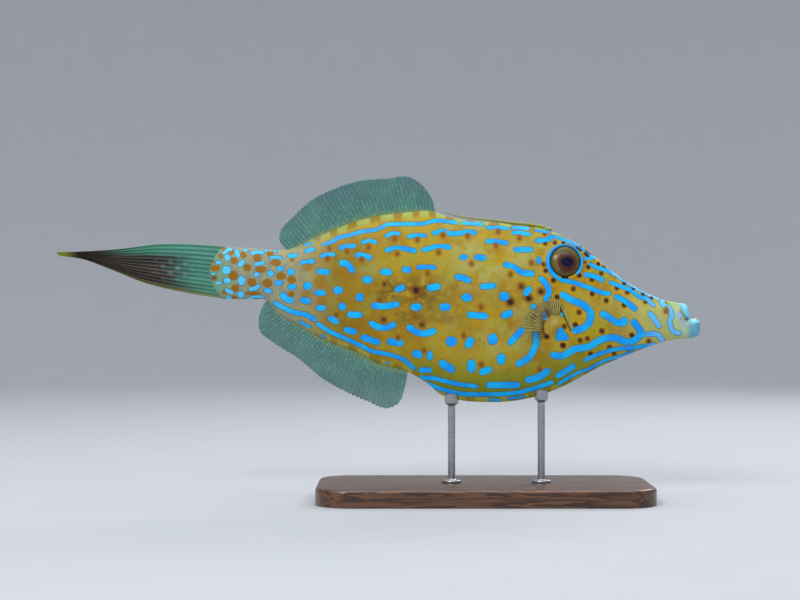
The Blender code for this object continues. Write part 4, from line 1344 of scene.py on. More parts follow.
@dataclass(frozen=True)
class SteelFinish:
    """Satin steel, brushed round the rod."""

    light: Colour = srgb(186, 188, 190)
    dark: Colour = srgb(150, 152, 156)
    brush_edge: Pair = (0.3, 0.7)

    def make(self) -> Finish:
        """Builds the material.

        Returns:
            The material.
        """
        bench = NodeBench("stand_steel")
        brushed = bench.noise(1.4, 3, stretch=(0.08, 0.08, 4))
        tone = bench.mix(bench.step(brushed, *self.brush_edge), self.light, self.dark)
        rough = bench.sum(Sum.TIMES_PLUS, brushed, 0.22, 0.22)
        normal = bench.bump(brushed, strength=0.15, depth=0.05)
        return bench.finish(Base_Color=tone, Metallic=1.0, Roughness=rough, Normal=normal)


def dress(piece: Piece, finish: Finish, slot: Slot, *nodes: str) -> None:
    """Gives a piece its finish and its body, and hides the solids that it stands for.

    Args:
        piece: the piece.
        finish: its material.
        slot: its material slot, which is not used.
        nodes: the solids that it replaces.
    """
    piece.data.materials.append(finish)
    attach(piece, "root")
    if nodes:
        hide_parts(*nodes)


def place_membrane(node: str, middle: Grid, thickness: float, root: Grid, finish: Finish) -> None:
    """Makes a fin's membrane: a thin sheet that takes the root's colour by an amount.

    Args:
        node: the fin's node.
        middle: the sheet's middle points in metres.
        thickness: its thickness in mm.
        root: the amount on each row of points, as a column.
        finish: its material.
    """
    points, quads = sheet(middle, np.array(thickness * MM), SIDEWAYS)
    values = {"root": np.broadcast_to(root, (2, *middle.shape[:2]))}
    dress(solid(f"{node}_membrane", points, quads, values), finish, Slot.FINS, node)


def place_rays(node: str, name: str, paths: Grid, radii: Grid, reach: float, finish: Finish) -> None:
    """Makes a fin's rays as one piece: round tubes that start in the root's colour.

    Args:
        node: the fin's node.
        name: what follows it in the piece's name.
        paths: the rays' points in metres (rays, steps, 3).
        radii: the radius at each step in mm.
        reach: share of a ray's length at which the root's colour ends.
        finish: their material.
    """
    points, quads = tubes(paths, np.broadcast_to(radii * MM, paths.shape[:2]), RAY_SIDES)
    down = np.linspace(0, 1, paths.shape[1])
    rings = np.concatenate([[1], ease(down, reach, 0.0), [0]])
    values = {"root": np.broadcast_to(rings[None, :, None], points.shape[:3])}
    dress(solid(f"{node}_{name}", points, quads, values), finish, Slot.FINS, node)


@dataclass(frozen=True)
class Groove:
    """A groove in the skin along a smooth line of (place, height) points, with its sizes in mm."""

    line: Path
    steps: int
    depth: float
    half_width: float
    reach: float

    def path(self) -> Grid:
        """Points along the groove."""
        return smooth_curve(self.line, self.steps)

    def away(self, x: Grid, z: Grid) -> Grid:
        """Distance of each place from the groove's line, up to its reach."""
        return path_distance(x, z, self.path(), self.reach)

    def cut(self, away: Grid) -> Grid:
        """How deep it is at a distance from its line: depth exp(-(away / half width)^2)."""
        return bell(away, (self.depth, 0, self.half_width))


@dataclass
class Skin:
    """The one skin of head, lips, torso and tail root, as a grid of rings and turns, in mm.

    A ridge or a pit round a place is a (height, radius, width).
    """

    half_turns: int = 152
    mouth_rings: int = 14
    mouth_depth: float = 6.5
    mouth_place: float = 271
    mouth_reach: float = 60
    mouth_levels: int = 160
    tail_rings: int = 6
    tail_depth: float = 3.4
    root_reach: float = 46
    spacing: Triple = (1.05, 0.6, 1.75)
    spacing_changes: Pair = (181, 146)
    solve_steps: int = 14
    relief_from: Pair = (0.5, 4.0)

    eye_rim: Triple = (1.1, 15.0, 1.9)
    rim_inside: float = 1.0
    rim_pull: Triple = (0.55, 0, 3)
    rim_pull_from: Pair = (0.25, 0.6)
    cup_depth: float = 4.2
    cup_wall: Pair = (EYE_OPENING + 0.9, EYE_OPENING - 1.6)

    gill_slit: Groove = Groove(GILL_SLIT, 24, 1.7, 0.95, 9.0)
    slit_lip: Triple = (1.1, 2.4, 1.2)
    nostril_rim: Triple = (0.45, 1.5, 0.7)
    nostril_pit: Triple = (0.9, 0, 0.9)
    lobe_size: Triple = (6.6, 9.4, 3.0)
    lobe_turn: float = -24
    lobe_fall: float = 1.6
    lip_grooves: tuple[Groove, Groove] = (
        Groove(LIP_FOLD, 20, 0.8, 1.0, 6.0),
        Groove(MOUTH_CLEFT, 8, 1.9, 0.8, 6.0),
    )

    def stations(self) -> Grid:
        """Places of the rings along the body, mouth to tail root.

        Rings close up by 1 - cos at both ends, where the skin rounds over, and lie closest about
        the eye and the gill slit.

        Returns:
            The places, falling.
        """
        front = self.mouth_place
        rear = TAIL_ROOT_X - TAIL_ROOT_BULGE
        rounding = 1 - np.cos(np.linspace(0, np.pi / 2, self.mouth_rings))
        places = [front - self.mouth_depth * rounding]
        stops = (front - self.mouth_depth, *self.spacing_changes, rear + self.tail_depth)
        for start, end, step in zip(stops[:-1], stops[1:], self.spacing):
            count = round((start - end) / step)
            places.append(np.linspace(start, end, count + 1)[1:])
        rounding = 1 - np.cos(np.linspace(0, np.pi / 2, self.tail_rings))
        places.append((rear + self.tail_depth * rounding)[-2::-1])
        return np.concatenate(places)

    def end_ring(self, start: float, turn: Grid, outline: Callable[[Grid], Grid]) -> Grid:
        """Where the skin's rows meet an end's outline, found by going back and forth between them.

        Args:
            start: a first place.
            turn: the rows' angles round the section.
            outline: the end's place at a height.

        Returns:
            The place of each row's end.
        """
        x = start + 0 * turn
        for _ in range(self.solve_steps):
            x = outline(skin_height(x, turn))
        return x

    def places(self) -> tuple[Grid, Grid, Grid]:
        """The grid's points in side view.

        A ring is upright, but near an end it takes on the end's outline: its place is moved by the
        outline's offset times a smooth step that is 1 at the end.

        Returns:
            Place, height and turn of each point.
        """
        turn = np.linspace(0, np.pi, self.half_turns + 1)[None]
        base = self.stations()[:, None]
        front, rear = base[0], base[-1]
        mouth = self.end_ring(self.mouth_place, turn, lambda z: smooth_line(MOUTH_FRONT, z))
        root = self.end_ring(TAIL_ROOT_X, turn, tail_root)
        x = base + (mouth - front) * ease(base, front - self.mouth_reach, front)
        x = x + (root - rear) * ease(base, rear + self.root_reach, rear)
        return x, skin_height(x, turn), turn + 0 * x

    def gathered(self, x: Grid, z: Grid, turn: Grid) -> tuple[Grid, Grid]:
        """Draws grid points towards the eye's rim, so that it comes out round.

        A point at d from the rim's circle moves to d (1 - 0.55 exp(-(d / 3)^2)).

        Args:
            x: the points' places.
            z: the points' heights.
            turn: their angles round the section; near back and keel they stay.

        Returns:
            The new places and heights.
        """
        off_x = x - EYE_X
        off_z = z - EYE_Z
        away = np.hypot(off_x, off_z) + TINY
        from_rim = away - self.eye_rim[1] + self.rim_inside
        drawn = bell(from_rim, self.rim_pull) * ease(np.sin(turn), *self.rim_pull_from)
        moved = 1 - from_rim * drawn / away
        return EYE_X + off_x * moved, EYE_Z + off_z * moved

    def fin_lobe(self, x: Grid, z: Grid) -> Grid:
        """The chest fin's fleshy lobe: a turned oval, height exp(-1.6 q^2) with q its norm.

        Args:
            x: place along the body.
            z: height.

        Returns:
            How far the lobe stands out.
        """
        lean = math.radians(self.lobe_turn)
        off_x, off_z = x - CHEST_ROOT[0], z - CHEST_ROOT[1]
        wide = off_x * math.cos(lean) + off_z * math.sin(lean)
        tall = off_z * math.cos(lean) - off_x * math.sin(lean)
        half_wide, half_tall, height = self.lobe_size
        return height * np.exp(-self.lobe_fall * ((wide / half_wide) ** 2 + (tall / half_tall) ** 2))

    def relief(self, x: Grid, z: Grid) -> Grid:
        """Fine forms over the plain flank: eye cup and rim, gill slit, nostrils, fin lobe, lips.

        Args:
            x: place along the body.
            z: height.

        Returns:
            How far the forms stand out, which is below nought in a groove.
        """
        away = np.hypot(x - EYE_X, z - EYE_Z)
        lift = bell(away, self.eye_rim)
        lift -= (self.cup_depth + lift) * ease(away, *self.cup_wall)
        away = self.gill_slit.away(x, z)
        ahead = side_of_path(x, z, self.gill_slit.path())
        lift -= self.gill_slit.cut(away)
        lift += np.where(ahead > 0, bell(away, self.slit_lip), 0)
        for place, height in NOSTRILS:
            away = np.hypot(x - place, z - height)
            lift += bell(away, self.nostril_rim) - bell(away, self.nostril_pit)
        lift += self.fin_lobe(x, z)
        for groove in self.lip_grooves:
            lift -= groove.cut(groove.away(x, z))
        return lift

    def width(self, x: Grid, z: Grid) -> Grid:
        """Distance of the skin from the mid-plane.

        The flank's width is closed at mouth and tail root by sqrt(1 - (1 - d / depth)^2), where d
        is the distance to the end's outline.

        Args:
            x: place along the body.
            z: height.

        Returns:
            The distance.
        """
        heights = np.array([point[0] for point in MOUTH_FRONT])
        levels = np.linspace(heights[0], heights[-1], self.mouth_levels)
        front = np.stack([smooth_line(MOUTH_FRONT, levels), levels], axis=1)
        away = path_distance(x, z, front, self.mouth_depth)
        closed = np.sqrt(np.clip(1 - (1 - away / self.mouth_depth) ** 2, 0, 1))
        behind = np.clip((x - tail_root(z)) / self.tail_depth, 0, 1)
        closed = closed * np.sqrt(np.clip(1 - (1 - behind) ** 2, 0, 1))
        plain = flank(x, z)
        return np.maximum((plain + self.relief(x, z) * ease(plain, *self.relief_from)) * closed, 0)

    def points(self) -> Grid:
        """Both flanks' points, round the body from the back over the left flank.

        Returns:
            The points in metres.
        """
        x, z, turn = self.places()
        x, z = self.gathered(x, z, turn)
        y = self.width(x, z)
        y[:, 0] = 0
        y[:, -1] = 0
        y[0] = 0
        y[-1] = 0
        left = np.stack([x, y, z], axis=-1)
        right = left[:, -2:0:-1] * np.array((1, -1, 1))
        return np.concatenate([left, right], axis=1) * MM

    def build(self) -> None:
        """Makes the skin, with its marks stored on its points."""
        points = self.points()
        rows, columns = points.shape[:2]
        marks = Marks(points.reshape(-1, 3)).values()
        skin = solid("skin", points, quads_of(rows, columns, wrap=True), marks)
        nodes = ("head", "torso", "tail_peduncle", "lip_upper", "lip_lower")
        dress(skin, SkinFinish().make(), Slot.SKIN, *nodes)


@dataclass
class Marks:
    """Where the skin's marks lie: distances in mm to strokes and spots, and amounts of each zone.

    Its sizes are in pixels of the photograph, save those whose comment says otherwise. A pair is
    the two values at which a zone is 0 and 1.
    """

    points: Grid
    far: float = 6.0
    end_trim: float = 0.4
    steps_a_point: int = 4

    drift: float = 2.6
    drift_across: tuple[Triple, Triple] = ((1.0, 31, 0.7), (0.6, 23, 0))
    drift_down: Triple = (1.0, 37, 1.1)
    # In mm, from the eye's middle and from the mid-plane
    drift_round_eye: Pair = (16, 34)
    drift_left: Pair = (1.0, 5.0)

    hump: float = 1.3
    hump_above: float = 3.5
    hump_size: Pair = (4.5, 4.0)
    soft_amount: float = 0.7

    # The ring's half width, less ahead and less above, in mm; where it is open, low and ahead
    ring_half: Triple = (1.35, 0.35, 0.45)
    ring_open_low: Pair = (0.72, 0.9)
    ring_open_ahead: Pair = (-0.62, -0.3)

    tail: Pair = (345, 276)
    tail_end: Pair = (240, 214)
    tail_clears: float = 0.8
    snout: Pair = (600, 665)
    pale_rear: Pair = (300, 240)
    pale_front: Pair = (640, 680)
    pale_front_amount: float = 0.7
    olive_amount: float = 0.78
    olive_rear: Pair = (380, 440)
    olive_front: Pair = (640, 560)
    shadow_amount: float = 0.45
    shadow_along: Pair = (410, 330)
    margin_amount: float = 0.9
    keel_front: Pair = (660, 620)
    band_length: float = 3.1
    band_wave: Triple = (1.2, 17, 0)
    # Distances from back or keel in mm
    olive_over_keel: Pair = (48, 5)
    shadow_under_back: Pair = (4, 14)
    margin_under_back: Pair = (8, 2.5)
    edge_over_keel: Pair = (6.5, 3)

    # The lips, by place, height and distance from the mouth's front in mm
    lip_from_rear: Pair = (-1.4, 4.4)
    parting_z: float = 156.2
    parting_away: Pair = (3.0, 1.4)
    parting_x: tuple[Pair, Pair] = ((262, 272), (270, 272))
    # The upper lip's white front rim, partly a painted highlight
    top_x: Pair = (260, 264)
    top_z: Pair = (157.8, 159.5)
    top_from_front: Pair = (8, 2)

    def __post_init__(self) -> None:
        """Finds each point's pixel; the left flank's marks drift a little, as no fish is a mirror.

        The hump over each soft spot lifts the strokes that run above it.
        """
        self.x, self.z = self.points[:, 0] / MM, self.points[:, 2] / MM
        across, down = photo_pixel(self.points)
        drift = self.drift * ease(self.points[:, 1] / MM, *self.drift_left)
        drift = drift * ease(np.hypot(self.x - EYE_X, self.z - EYE_Z), *self.drift_round_eye)
        first, second = self.drift_across
        self.across = across + drift * (swing(down, first) + swing(across, second))
        self.down = down + drift * swing(across, self.drift_down)
        arched = tuple((x, y - self.hump_above, *self.hump_size, 1.0) for x, y in SOFT_SPOTS)
        self.down = self.down + self.hump * self.patches(arched)

    def strokes(self, groups: tuple[Stroke, ...]) -> Grid:
        """Signed distance to the edge of the nearest stroke, in pixels.

        Args:
            groups: the strokes as (width, points).

        Returns:
            The distance, below nought within a stroke.
        """
        best = np.full(self.across.shape, self.far)
        for width, path in groups:
            count = self.steps_a_point * len(path) if len(path) > 2 else 2
            line = smooth_curve(path, count, self.end_trim * width)
            away = path_distance(self.across, self.down, line, self.far + width / 2)
            best = np.minimum(best, away - width / 2)
        return best

    def ovals(self, ovals: tuple[Oval, ...]) -> Grid:
        """Distance to the edge of the nearest oval: (q - 1) times its mean half size, q its norm.

        Args:
            ovals: the ovals as (x, y, width, height).

        Returns:
            The distance in pixels, below nought within an oval.
        """
        best = np.full(self.across.shape, self.far)
        for x, y, wide, tall in ovals:
            q = np.hypot((self.across - x) / (wide / 2), (self.down - y) / (tall / 2))
            best = np.minimum(best, (q - 1) * (wide + tall) / 4)
        return best

    def rounds(self, spots: tuple[Triple, ...]) -> Grid:
        """Distance in pixels to the edge of the nearest round spot, each an (x, y, radius)."""
        return self.ovals(tuple((x, y, 2 * radius, 2 * radius) for x, y, radius in spots))

    def patches(self, patches: tuple[Patch, ...]) -> Grid:
        """Amount of a zone: the greatest of soft ovals that fall off as exp(-q^2).

        Args:
            patches: the ovals as (x, y, half width, half height, amount).

        Returns:
            The amount, 0 to 1.
        """
        best = np.zeros(self.across.shape)
        for x, y, wide, tall, amount in patches:
            q = ((self.across - x) / wide) ** 2 + ((self.down - y) / tall) ** 2
            best = np.maximum(best, amount * np.exp(-q))
        return best

    def eye_ring(self) -> Grid:
        """The blue ring round the eye, wider behind and open low ahead.

        Returns:
            The signed distance to it in mm.
        """
        off_x, off_z = self.x - EYE_X, self.z - EYE_Z
        away = np.hypot(off_x, off_z) + TINY
        plain, less_ahead, less_above = self.ring_half
        half = plain - less_ahead * off_x / away - less_above * np.clip(off_z / away, 0, 1)
        opened = ease(-off_z / away, *self.ring_open_low) * ease(off_x / away, *self.ring_open_ahead)
        return np.abs(away - EYE_OPENING - half) - half + self.far * opened

    def blue(self) -> Grid:
        """The blue: strokes, ovals and eye ring, less the rounds kept clear.

        Returns:
            The signed distance to it in mm.
        """
        tables = (HEAD_STROKES, SHOULDER_STROKES + FLANK_STROKES, TAIL_STROKES)
        drawn = [self.strokes(table) for table in tables]
        blue = np.minimum.reduce([*drawn, self.ovals(BLUE_OVALS)]) * PIXEL
        discs = tuple((x, y + SOFT_SPOT_DROP, SOFT_SPOT_CLEAR) for x, y in SOFT_SPOTS) + CLEARINGS
        return np.minimum(np.maximum(blue, -self.rounds(discs) * PIXEL), self.eye_ring())

    def tables(self) -> dict[str, Grid]:
        """What the tables of strokes, spots and patches give.

        Returns:
            Distances in mm and amounts, by name.
        """
        reach = (SOFT_SPOT_REACH, SOFT_SPOT_REACH, self.soft_amount)
        soft = tuple((x, y + SOFT_SPOT_DROP, *reach) for x, y in SOFT_SPOTS)
        strokes = {
            "dash": DARK_DASHES, "brown_shade_line": BROWN_SHADE_LINES, "lip_stroke": LIP_STROKES,
            "lip_crease_shade": LIP_CREASE_SHADE, "gill_lip": GILL_LIP,
        }
        rounds = {"dot": DARK_DOTS, "halo": HALO_SPOTS}
        ovals = {"tail_spot": TAIL_SPOTS, "ochre_spot": OCHRE_SPOTS}
        # The pale patches include a painted highlight on the chest fin's lobe
        patches = {
            "soft": soft, "cream": CREAM_PATCHES, "pale": PALE_PATCHES_AND_LOBE_HIGHLIGHT, "dusky": DUSKY_PATCHES,
            "warm": WARM_PATCHES,
        }
        return {
            **{name: self.strokes(table) * PIXEL for name, table in strokes.items()},
            **{name: self.rounds(table) * PIXEL for name, table in rounds.items()},
            **{name: self.ovals(table) * PIXEL for name, table in ovals.items()},
            **{name: self.patches(table) for name, table in patches.items()},
        }

    def zones(self) -> dict[str, Grid]:
        """The wide zones of head, flank, margins and tail root.

        Returns:
            Their amounts, by name.
        """
        back = smooth_line(BACK_LINE, self.x) - self.z
        keel = self.z - smooth_line(KEEL_LINE, self.x)
        tail = ease(self.across, *self.tail)
        fore = 1 - self.tail_clears * tail
        olive = self.olive_amount * ease(keel, *self.olive_over_keel)
        olive = olive * ease(self.across, *self.olive_rear) * ease(self.across, *self.olive_front)
        shadow = self.shadow_amount * ease(self.across, *self.shadow_along)
        front_pale = self.pale_front_amount * ease(self.across, *self.pale_front)
        wave = swing(self.across, self.band_wave)
        return {
            "pale_stroke": np.maximum(ease(self.across, *self.pale_rear), front_pale),
            "tail": tail,
            "tail_end": ease(self.across, *self.tail_end),
            "olive": olive,
            "shadow": shadow * fore * ease(back, *self.shadow_under_back),
            "margin": self.margin_amount * ease(back, *self.margin_under_back) * fore,
            "keel_edge": ease(keel, *self.edge_over_keel) * (1 - tail) * ease(self.across, *self.keel_front),
            "margin_band": (1 + np.sin(self.across / self.band_length + wave)) / 2,
            "snout": ease(self.across, *self.snout),
        }

    def lips(self) -> dict[str, Grid]:
        """The lips, and their white edges at the parting and on top, where the white is partly a painted
        highlight.

        Returns:
            Their amounts, by name.
        """
        lip_rear = np.interp(self.z, *zip(*LIP_REAR))
        from_front = smooth_line(MOUTH_FRONT, self.z) - self.x
        parting = ease(np.abs(self.z - self.parting_z), *self.parting_away)
        for ends in self.parting_x:
            parting = parting * ease(self.x, *ends)
        top = ease(self.x, *self.top_x) * ease(self.z, *self.top_z)
        return {
            "lip": ease(self.x - lip_rear, *self.lip_from_rear),
            "lip_edge": parting,
            "lip_top_white_and_highlight": top * ease(from_front, *self.top_from_front),
        }

    def values(self) -> dict[str, Grid]:
        """Every named value that the skin's finish reads."""
        return {"stroke": self.blue(), **self.tables(), **self.zones(), **self.lips()}


@dataclass
class Eye:
    """One eye: a clear-coated dome whose rings and pupil follow its own distance and turn, in mm."""

    side: Side
    segments: int = 96
    rings: int = 40
    pupil_half: Pair = (5.5, 4.3)
    pupil_off: Pair = (1.4, -0.4)
    pupil_power: float = 1.7
    iris_off: Pair = (0.4, -0.9)
    arc: Triple = (0.8, 8.6, 1.7)
    arc_behind: Pair = (0.2, 0.95)
    # Where the painted grey sheen, a reflection, lies above the pupil, up and along
    painted_sheen_up: Triple = (0.7, 6.9, 1.2)
    painted_sheen_along: Triple = (1.0, -0.6, 5.0)

    def points(self) -> Grid:
        """An ellipsoid: r (cos a, sin a) across, and depth sqrt(1 - r^2) out.

        Returns:
            The eye's points in metres.
        """
        place, turned = eye_frame(self.side)
        lift = np.linspace(0, np.pi, 2 * self.rings + 1)[:, None]
        turn = np.linspace(0, 2 * np.pi, self.segments, endpoint=False)
        radius = EYE_RADIUS * np.sin(lift) + 0 * turn
        depth = EYE_DEPTH * np.cos(lift) + 0 * turn
        local = np.stack([radius * np.cos(turn), radius * np.sin(turn), depth], axis=-1)
        return local @ turned.T * MM + np.array(place)

    def values(self, points: Grid) -> dict[str, Grid]:
        """The named values that the eye's finish reads.

        The pupil is the oval |u|^1.7 + |v|^1.7 = 1, and its value the signed distance to it.

        Args:
            points: the eye's points in metres.

        Returns:
            The values by name.
        """
        off_x = points[..., 0] / MM - EYE_X
        off_z = points[..., 2] / MM - EYE_Z
        away = np.hypot(off_x, off_z)
        wide = (off_x - self.pupil_off[0]) / self.pupil_half[0]
        tall = (off_z - self.pupil_off[1]) / self.pupil_half[1]
        power = self.pupil_power
        q = (np.abs(wide) ** power + np.abs(tall) ** power) ** (1 / power)
        return {
            "away": np.hypot(off_x - self.iris_off[0], off_z - self.iris_off[1]),
            "edge": away,
            "pupil": (q - 1) * sum(self.pupil_half) / 2,
            "arc": bell(away, self.arc) * ease(-off_x / (away + TINY), *self.arc_behind),
            "painted_sheen": bell(off_z, self.painted_sheen_up) * bell(off_x, self.painted_sheen_along),
        }

    def build(self, finish: Finish) -> None:
        """Makes the eye.

        Args:
            finish: the eyes' material.
        """
        node = self.side.of("eye")
        points = self.points()
        quads = quads_of(2 * self.rings + 1, self.segments, wrap=True)
        dress(solid(f"{node}_ball", points, quads, self.values(points)), finish, Slot.EYES, node)


@dataclass
class LongFin:
    """The fin along the back or keel: a clear waved membrane on tapering rays, in mm and degrees."""

    node: str
    body_edge: Edge
    ends: Pair
    margin: Path
    rays: int
    lean: Pair
    rows: int = 26
    between: int = 6
    wave: float = 2.6
    waves_along: float = 1.6
    wave_turn: float = 20
    wave_at: float = 40
    wave_power: float = 1.5
    sunk: float = 1.4
    margin_steps: int = 900
    shortest: float = 1.0
    membrane: float = 0.36
    scallop: Pair = (0.035, 0.9)
    root_tint: Pair = (0.22, 0.02)
    ray_radii: Pair = (0.26, 0.75)
    ray_taper: float = 1.3
    ray_steps: int = 30
    ray_tint: float = 0.15
    joints: Pair = (0.1, 40)
    joints_from: Pair = (0.2, 0.4)

    def root_line(self, x: Grid) -> Grid:
        """Points of the body's edge in side view."""
        return np.stack([x, smooth_line(self.body_edge.line(), x)], axis=1)

    def reach(self, roots: Grid, heading: Grid) -> Grid:
        """How far each ray runs from its root to the fin's margin, where it comes nearest to it.

        Args:
            roots: the rays' roots in side view.
            heading: their unit directions.

        Returns:
            The rays' lengths.
        """
        outline = smooth_curve(self.margin, self.margin_steps)
        off = outline[None] - roots[:, None]
        across = np.abs(off[..., 0] * heading[:, None, 1] - off[..., 1] * heading[:, None, 0])
        ahead = (off * heading[:, None]).sum(axis=-1)
        nearest = np.where(ahead > 0, across, np.inf).argmin(axis=1)
        return np.maximum(ahead[np.arange(len(roots)), nearest], self.shortest)

    def bent(self, flat: Grid, roots: Grid, share: Grid) -> Grid:
        """The fin's flat points waved sideways: wave sin(along - 20 r) (r / 40 mm)^1.5, r in metres.

        Args:
            flat: points in side view.
            roots: the roots of their rays.
            share: their share along the root.

        Returns:
            The points in metres.
        """
        r = np.linalg.norm(flat - roots, axis=-1)
        along = share * 2 * np.pi * self.waves_along
        bend = self.wave * np.sin(along - self.wave_turn * r * MM) * (r / self.wave_at) ** self.wave_power
        return np.stack([flat[..., 0], bend, flat[..., 1]], axis=-1) * MM

    def fan(self, share: Grid, down: Grid) -> tuple[Grid, Grid]:
        """Points at shares along the root and down the rays.

        Args:
            share: 0 at the front of the root, 1 at its end.
            down: 0 at the root, 1 at the margin, as rows.

        Returns:
            The bent points in metres and the length of each ray in mm.
        """
        roots = self.root_line(blend(self.ends, share))
        angle = np.radians(blend(self.lean, share))
        heading = np.stack([-np.sin(angle), self.body_edge.value * np.cos(angle)], axis=1)
        length = self.reach(roots, heading)
        start = roots - heading * self.sunk
        flat = start + heading * (length + self.sunk)[:, None] * down[:, None, None]
        return self.bent(flat, roots, share), length

    def build(self, clear: Finish, ray: Finish) -> None:
        """Makes the membrane and the rays.

        Args:
            clear: the membrane's material.
            ray: the rays' material.
        """
        self.skin(clear)
        self.spokes(ray)

    def skin(self, clear: Finish) -> None:
        """The membrane, whose margin is scalloped between the rays by a sine's half wave.

        Args:
            clear: its material.
        """
        share = np.linspace(0, 1, (self.rays - 1) * self.between + 1)
        down = np.linspace(0, 1, self.rows)
        middle, length = self.fan(share, down)
        phase = np.arange(len(share)) % self.between / self.between
        deep = np.minimum(length * self.scallop[0], self.scallop[1])
        middle[-1] -= unit(middle[-1] - middle[-2]) * (np.sin(np.pi * phase) * deep * MM)[:, None]
        root = ease(down, *self.root_tint)[:, None]
        place_membrane(self.node, middle, self.membrane, root, clear)

    def spokes(self, ray: Finish) -> None:
        """The rays, which taper as (1 - down)^1.3 and swell slightly at their joints.

        Args:
            ray: their material.
        """
        down = np.linspace(0, 1, self.ray_steps)
        paths = np.moveaxis(self.fan(np.linspace(0, 1, self.rays), down)[0], 1, 0)
        thick = blend(self.ray_radii, (1 - down) ** self.ray_taper)
        depth, rate = self.joints
        jointed = 1 + depth * np.cos(down * rate) * ease(down, *self.joints_from)
        place_rays(self.node, "rays", paths, thick * jointed, self.ray_tint, ray)


@dataclass
class TailFin:
    """The folded tail fin: its rays drawn together to a point, raised as ridges on both faces, in mm.

    A pair is a value at the root and at the tip, or the two values at which a step is 0 and 1.
    The flecks lie by pixels of the photograph.
    """

    rays: int = 12
    between: int = 10
    rows: int = 150
    overlap: float = 2.2
    overlap_fall: float = 1.5
    membrane: Pair = (1.5, 0.5)
    ridge: Pair = (2.1, 0.9)
    ridge_power: float = 1.5
    ridge_change: float = 0.25
    ridge_rate: float = 7.3
    edge_share: float = 0.3
    edge_at: float = 0.02
    pleat: float = 0.7
    pleat_from: Pair = (0.05, 0.5)
    pleat_fade: float = 0.6
    notch: float = 1.4

    fleck_at: Pair = (178, 268)
    fleck_reach: Pair = (17, 11)
    fleck_apart: Pair = (2.4, 1.9)
    fleck_slope: float = 0.1
    fleck_edge: Pair = (0.3, 0.8)

    def flecks(self, middle: Grid) -> Grid:
        """Rows of small flecks: the product of two cosines, stepped, in a soft oval.

        Args:
            middle: the fin's middle points in metres.

        Returns:
            The amount of fleck, 0 to 1.
        """
        across, down = photo_pixel(middle)
        ahead = across - self.fleck_at[0]
        low = down - self.fleck_at[1]
        rows = np.cos(ahead / self.fleck_apart[0])
        rows = rows * np.cos((low - self.fleck_slope * ahead) / self.fleck_apart[1])
        zone = bell(ahead, (1, 0, self.fleck_reach[0])) * bell(low, (1, 0, self.fleck_reach[1]))
        return ease(rows, *self.fleck_edge) * zone

    def flat(self, up: Grid, down: Grid) -> Grid:
        """The fin in side view, whose root follows the tail root's edge and fades from it as (1 - down)^1.5.

        Args:
            up: 0 at the lower edge, 1 at the upper.
            down: 0 at the root, 1 at the tip, as a column.

        Returns:
            The points as (place, height).
        """
        low = smooth_curve(CAUDAL_LOWER, self.rows)[:, None]
        high = smooth_curve(CAUDAL_UPPER, self.rows)[:, None]
        flat = low + (high - low) * up[:, None]
        root_x = tail_root(flat[0, :, 1]) + self.overlap
        flat[..., 0] += (root_x - flat[0, :, 0]) * (1 - down) ** self.overlap_fall
        return flat

    def build(self) -> None:
        """Makes the fin. Its thickness is membrane + ridge cos^3 of the place between two rays."""
        columns = self.rays * self.between + 1
        up = np.linspace(0, 1, columns)
        down = np.linspace(0, 1, self.rows)[:, None]
        flat = self.flat(up, down)
        wave = np.cos(np.pi * self.rays * up) ** 2
        change = 1 + self.ridge_change * np.sin(self.ridge_rate * up * self.rays)
        raised = wave**self.ridge_power * change
        inside = np.clip(up, self.edge_at, 1 - self.edge_at)
        edges = self.edge_share + (1 - self.edge_share) * np.sqrt(np.sin(np.pi * inside))
        thickness = blend(self.membrane, down) + blend(self.ridge, down) * raised
        thickness = thickness * (edges + (1 - edges) * down) * MM
        fade = ease(down, *self.pleat_from) * (1 - self.pleat_fade * down)
        pleat = self.pleat * np.sin(2 * np.pi * self.rays * up) * fade
        flat[-1, :, 0] += self.notch * (1 - wave)
        middle = np.stack([flat[..., 0], pleat, flat[..., 1]], axis=-1) * MM
        points, quads = sheet(middle, thickness, SIDEWAYS)
        one = {"up": up, "along": down, "ray": wave**3, "fleck": self.flecks(middle)}
        faces = (2, self.rows, columns)
        values = {name: np.broadcast_to(value, faces) for name, value in one.items()}
        fin = solid("caudal_fin_sheet", points, quads, values)
        dress(fin, TailFinish().make(), Slot.TAIL_FIN, "caudal_fin")


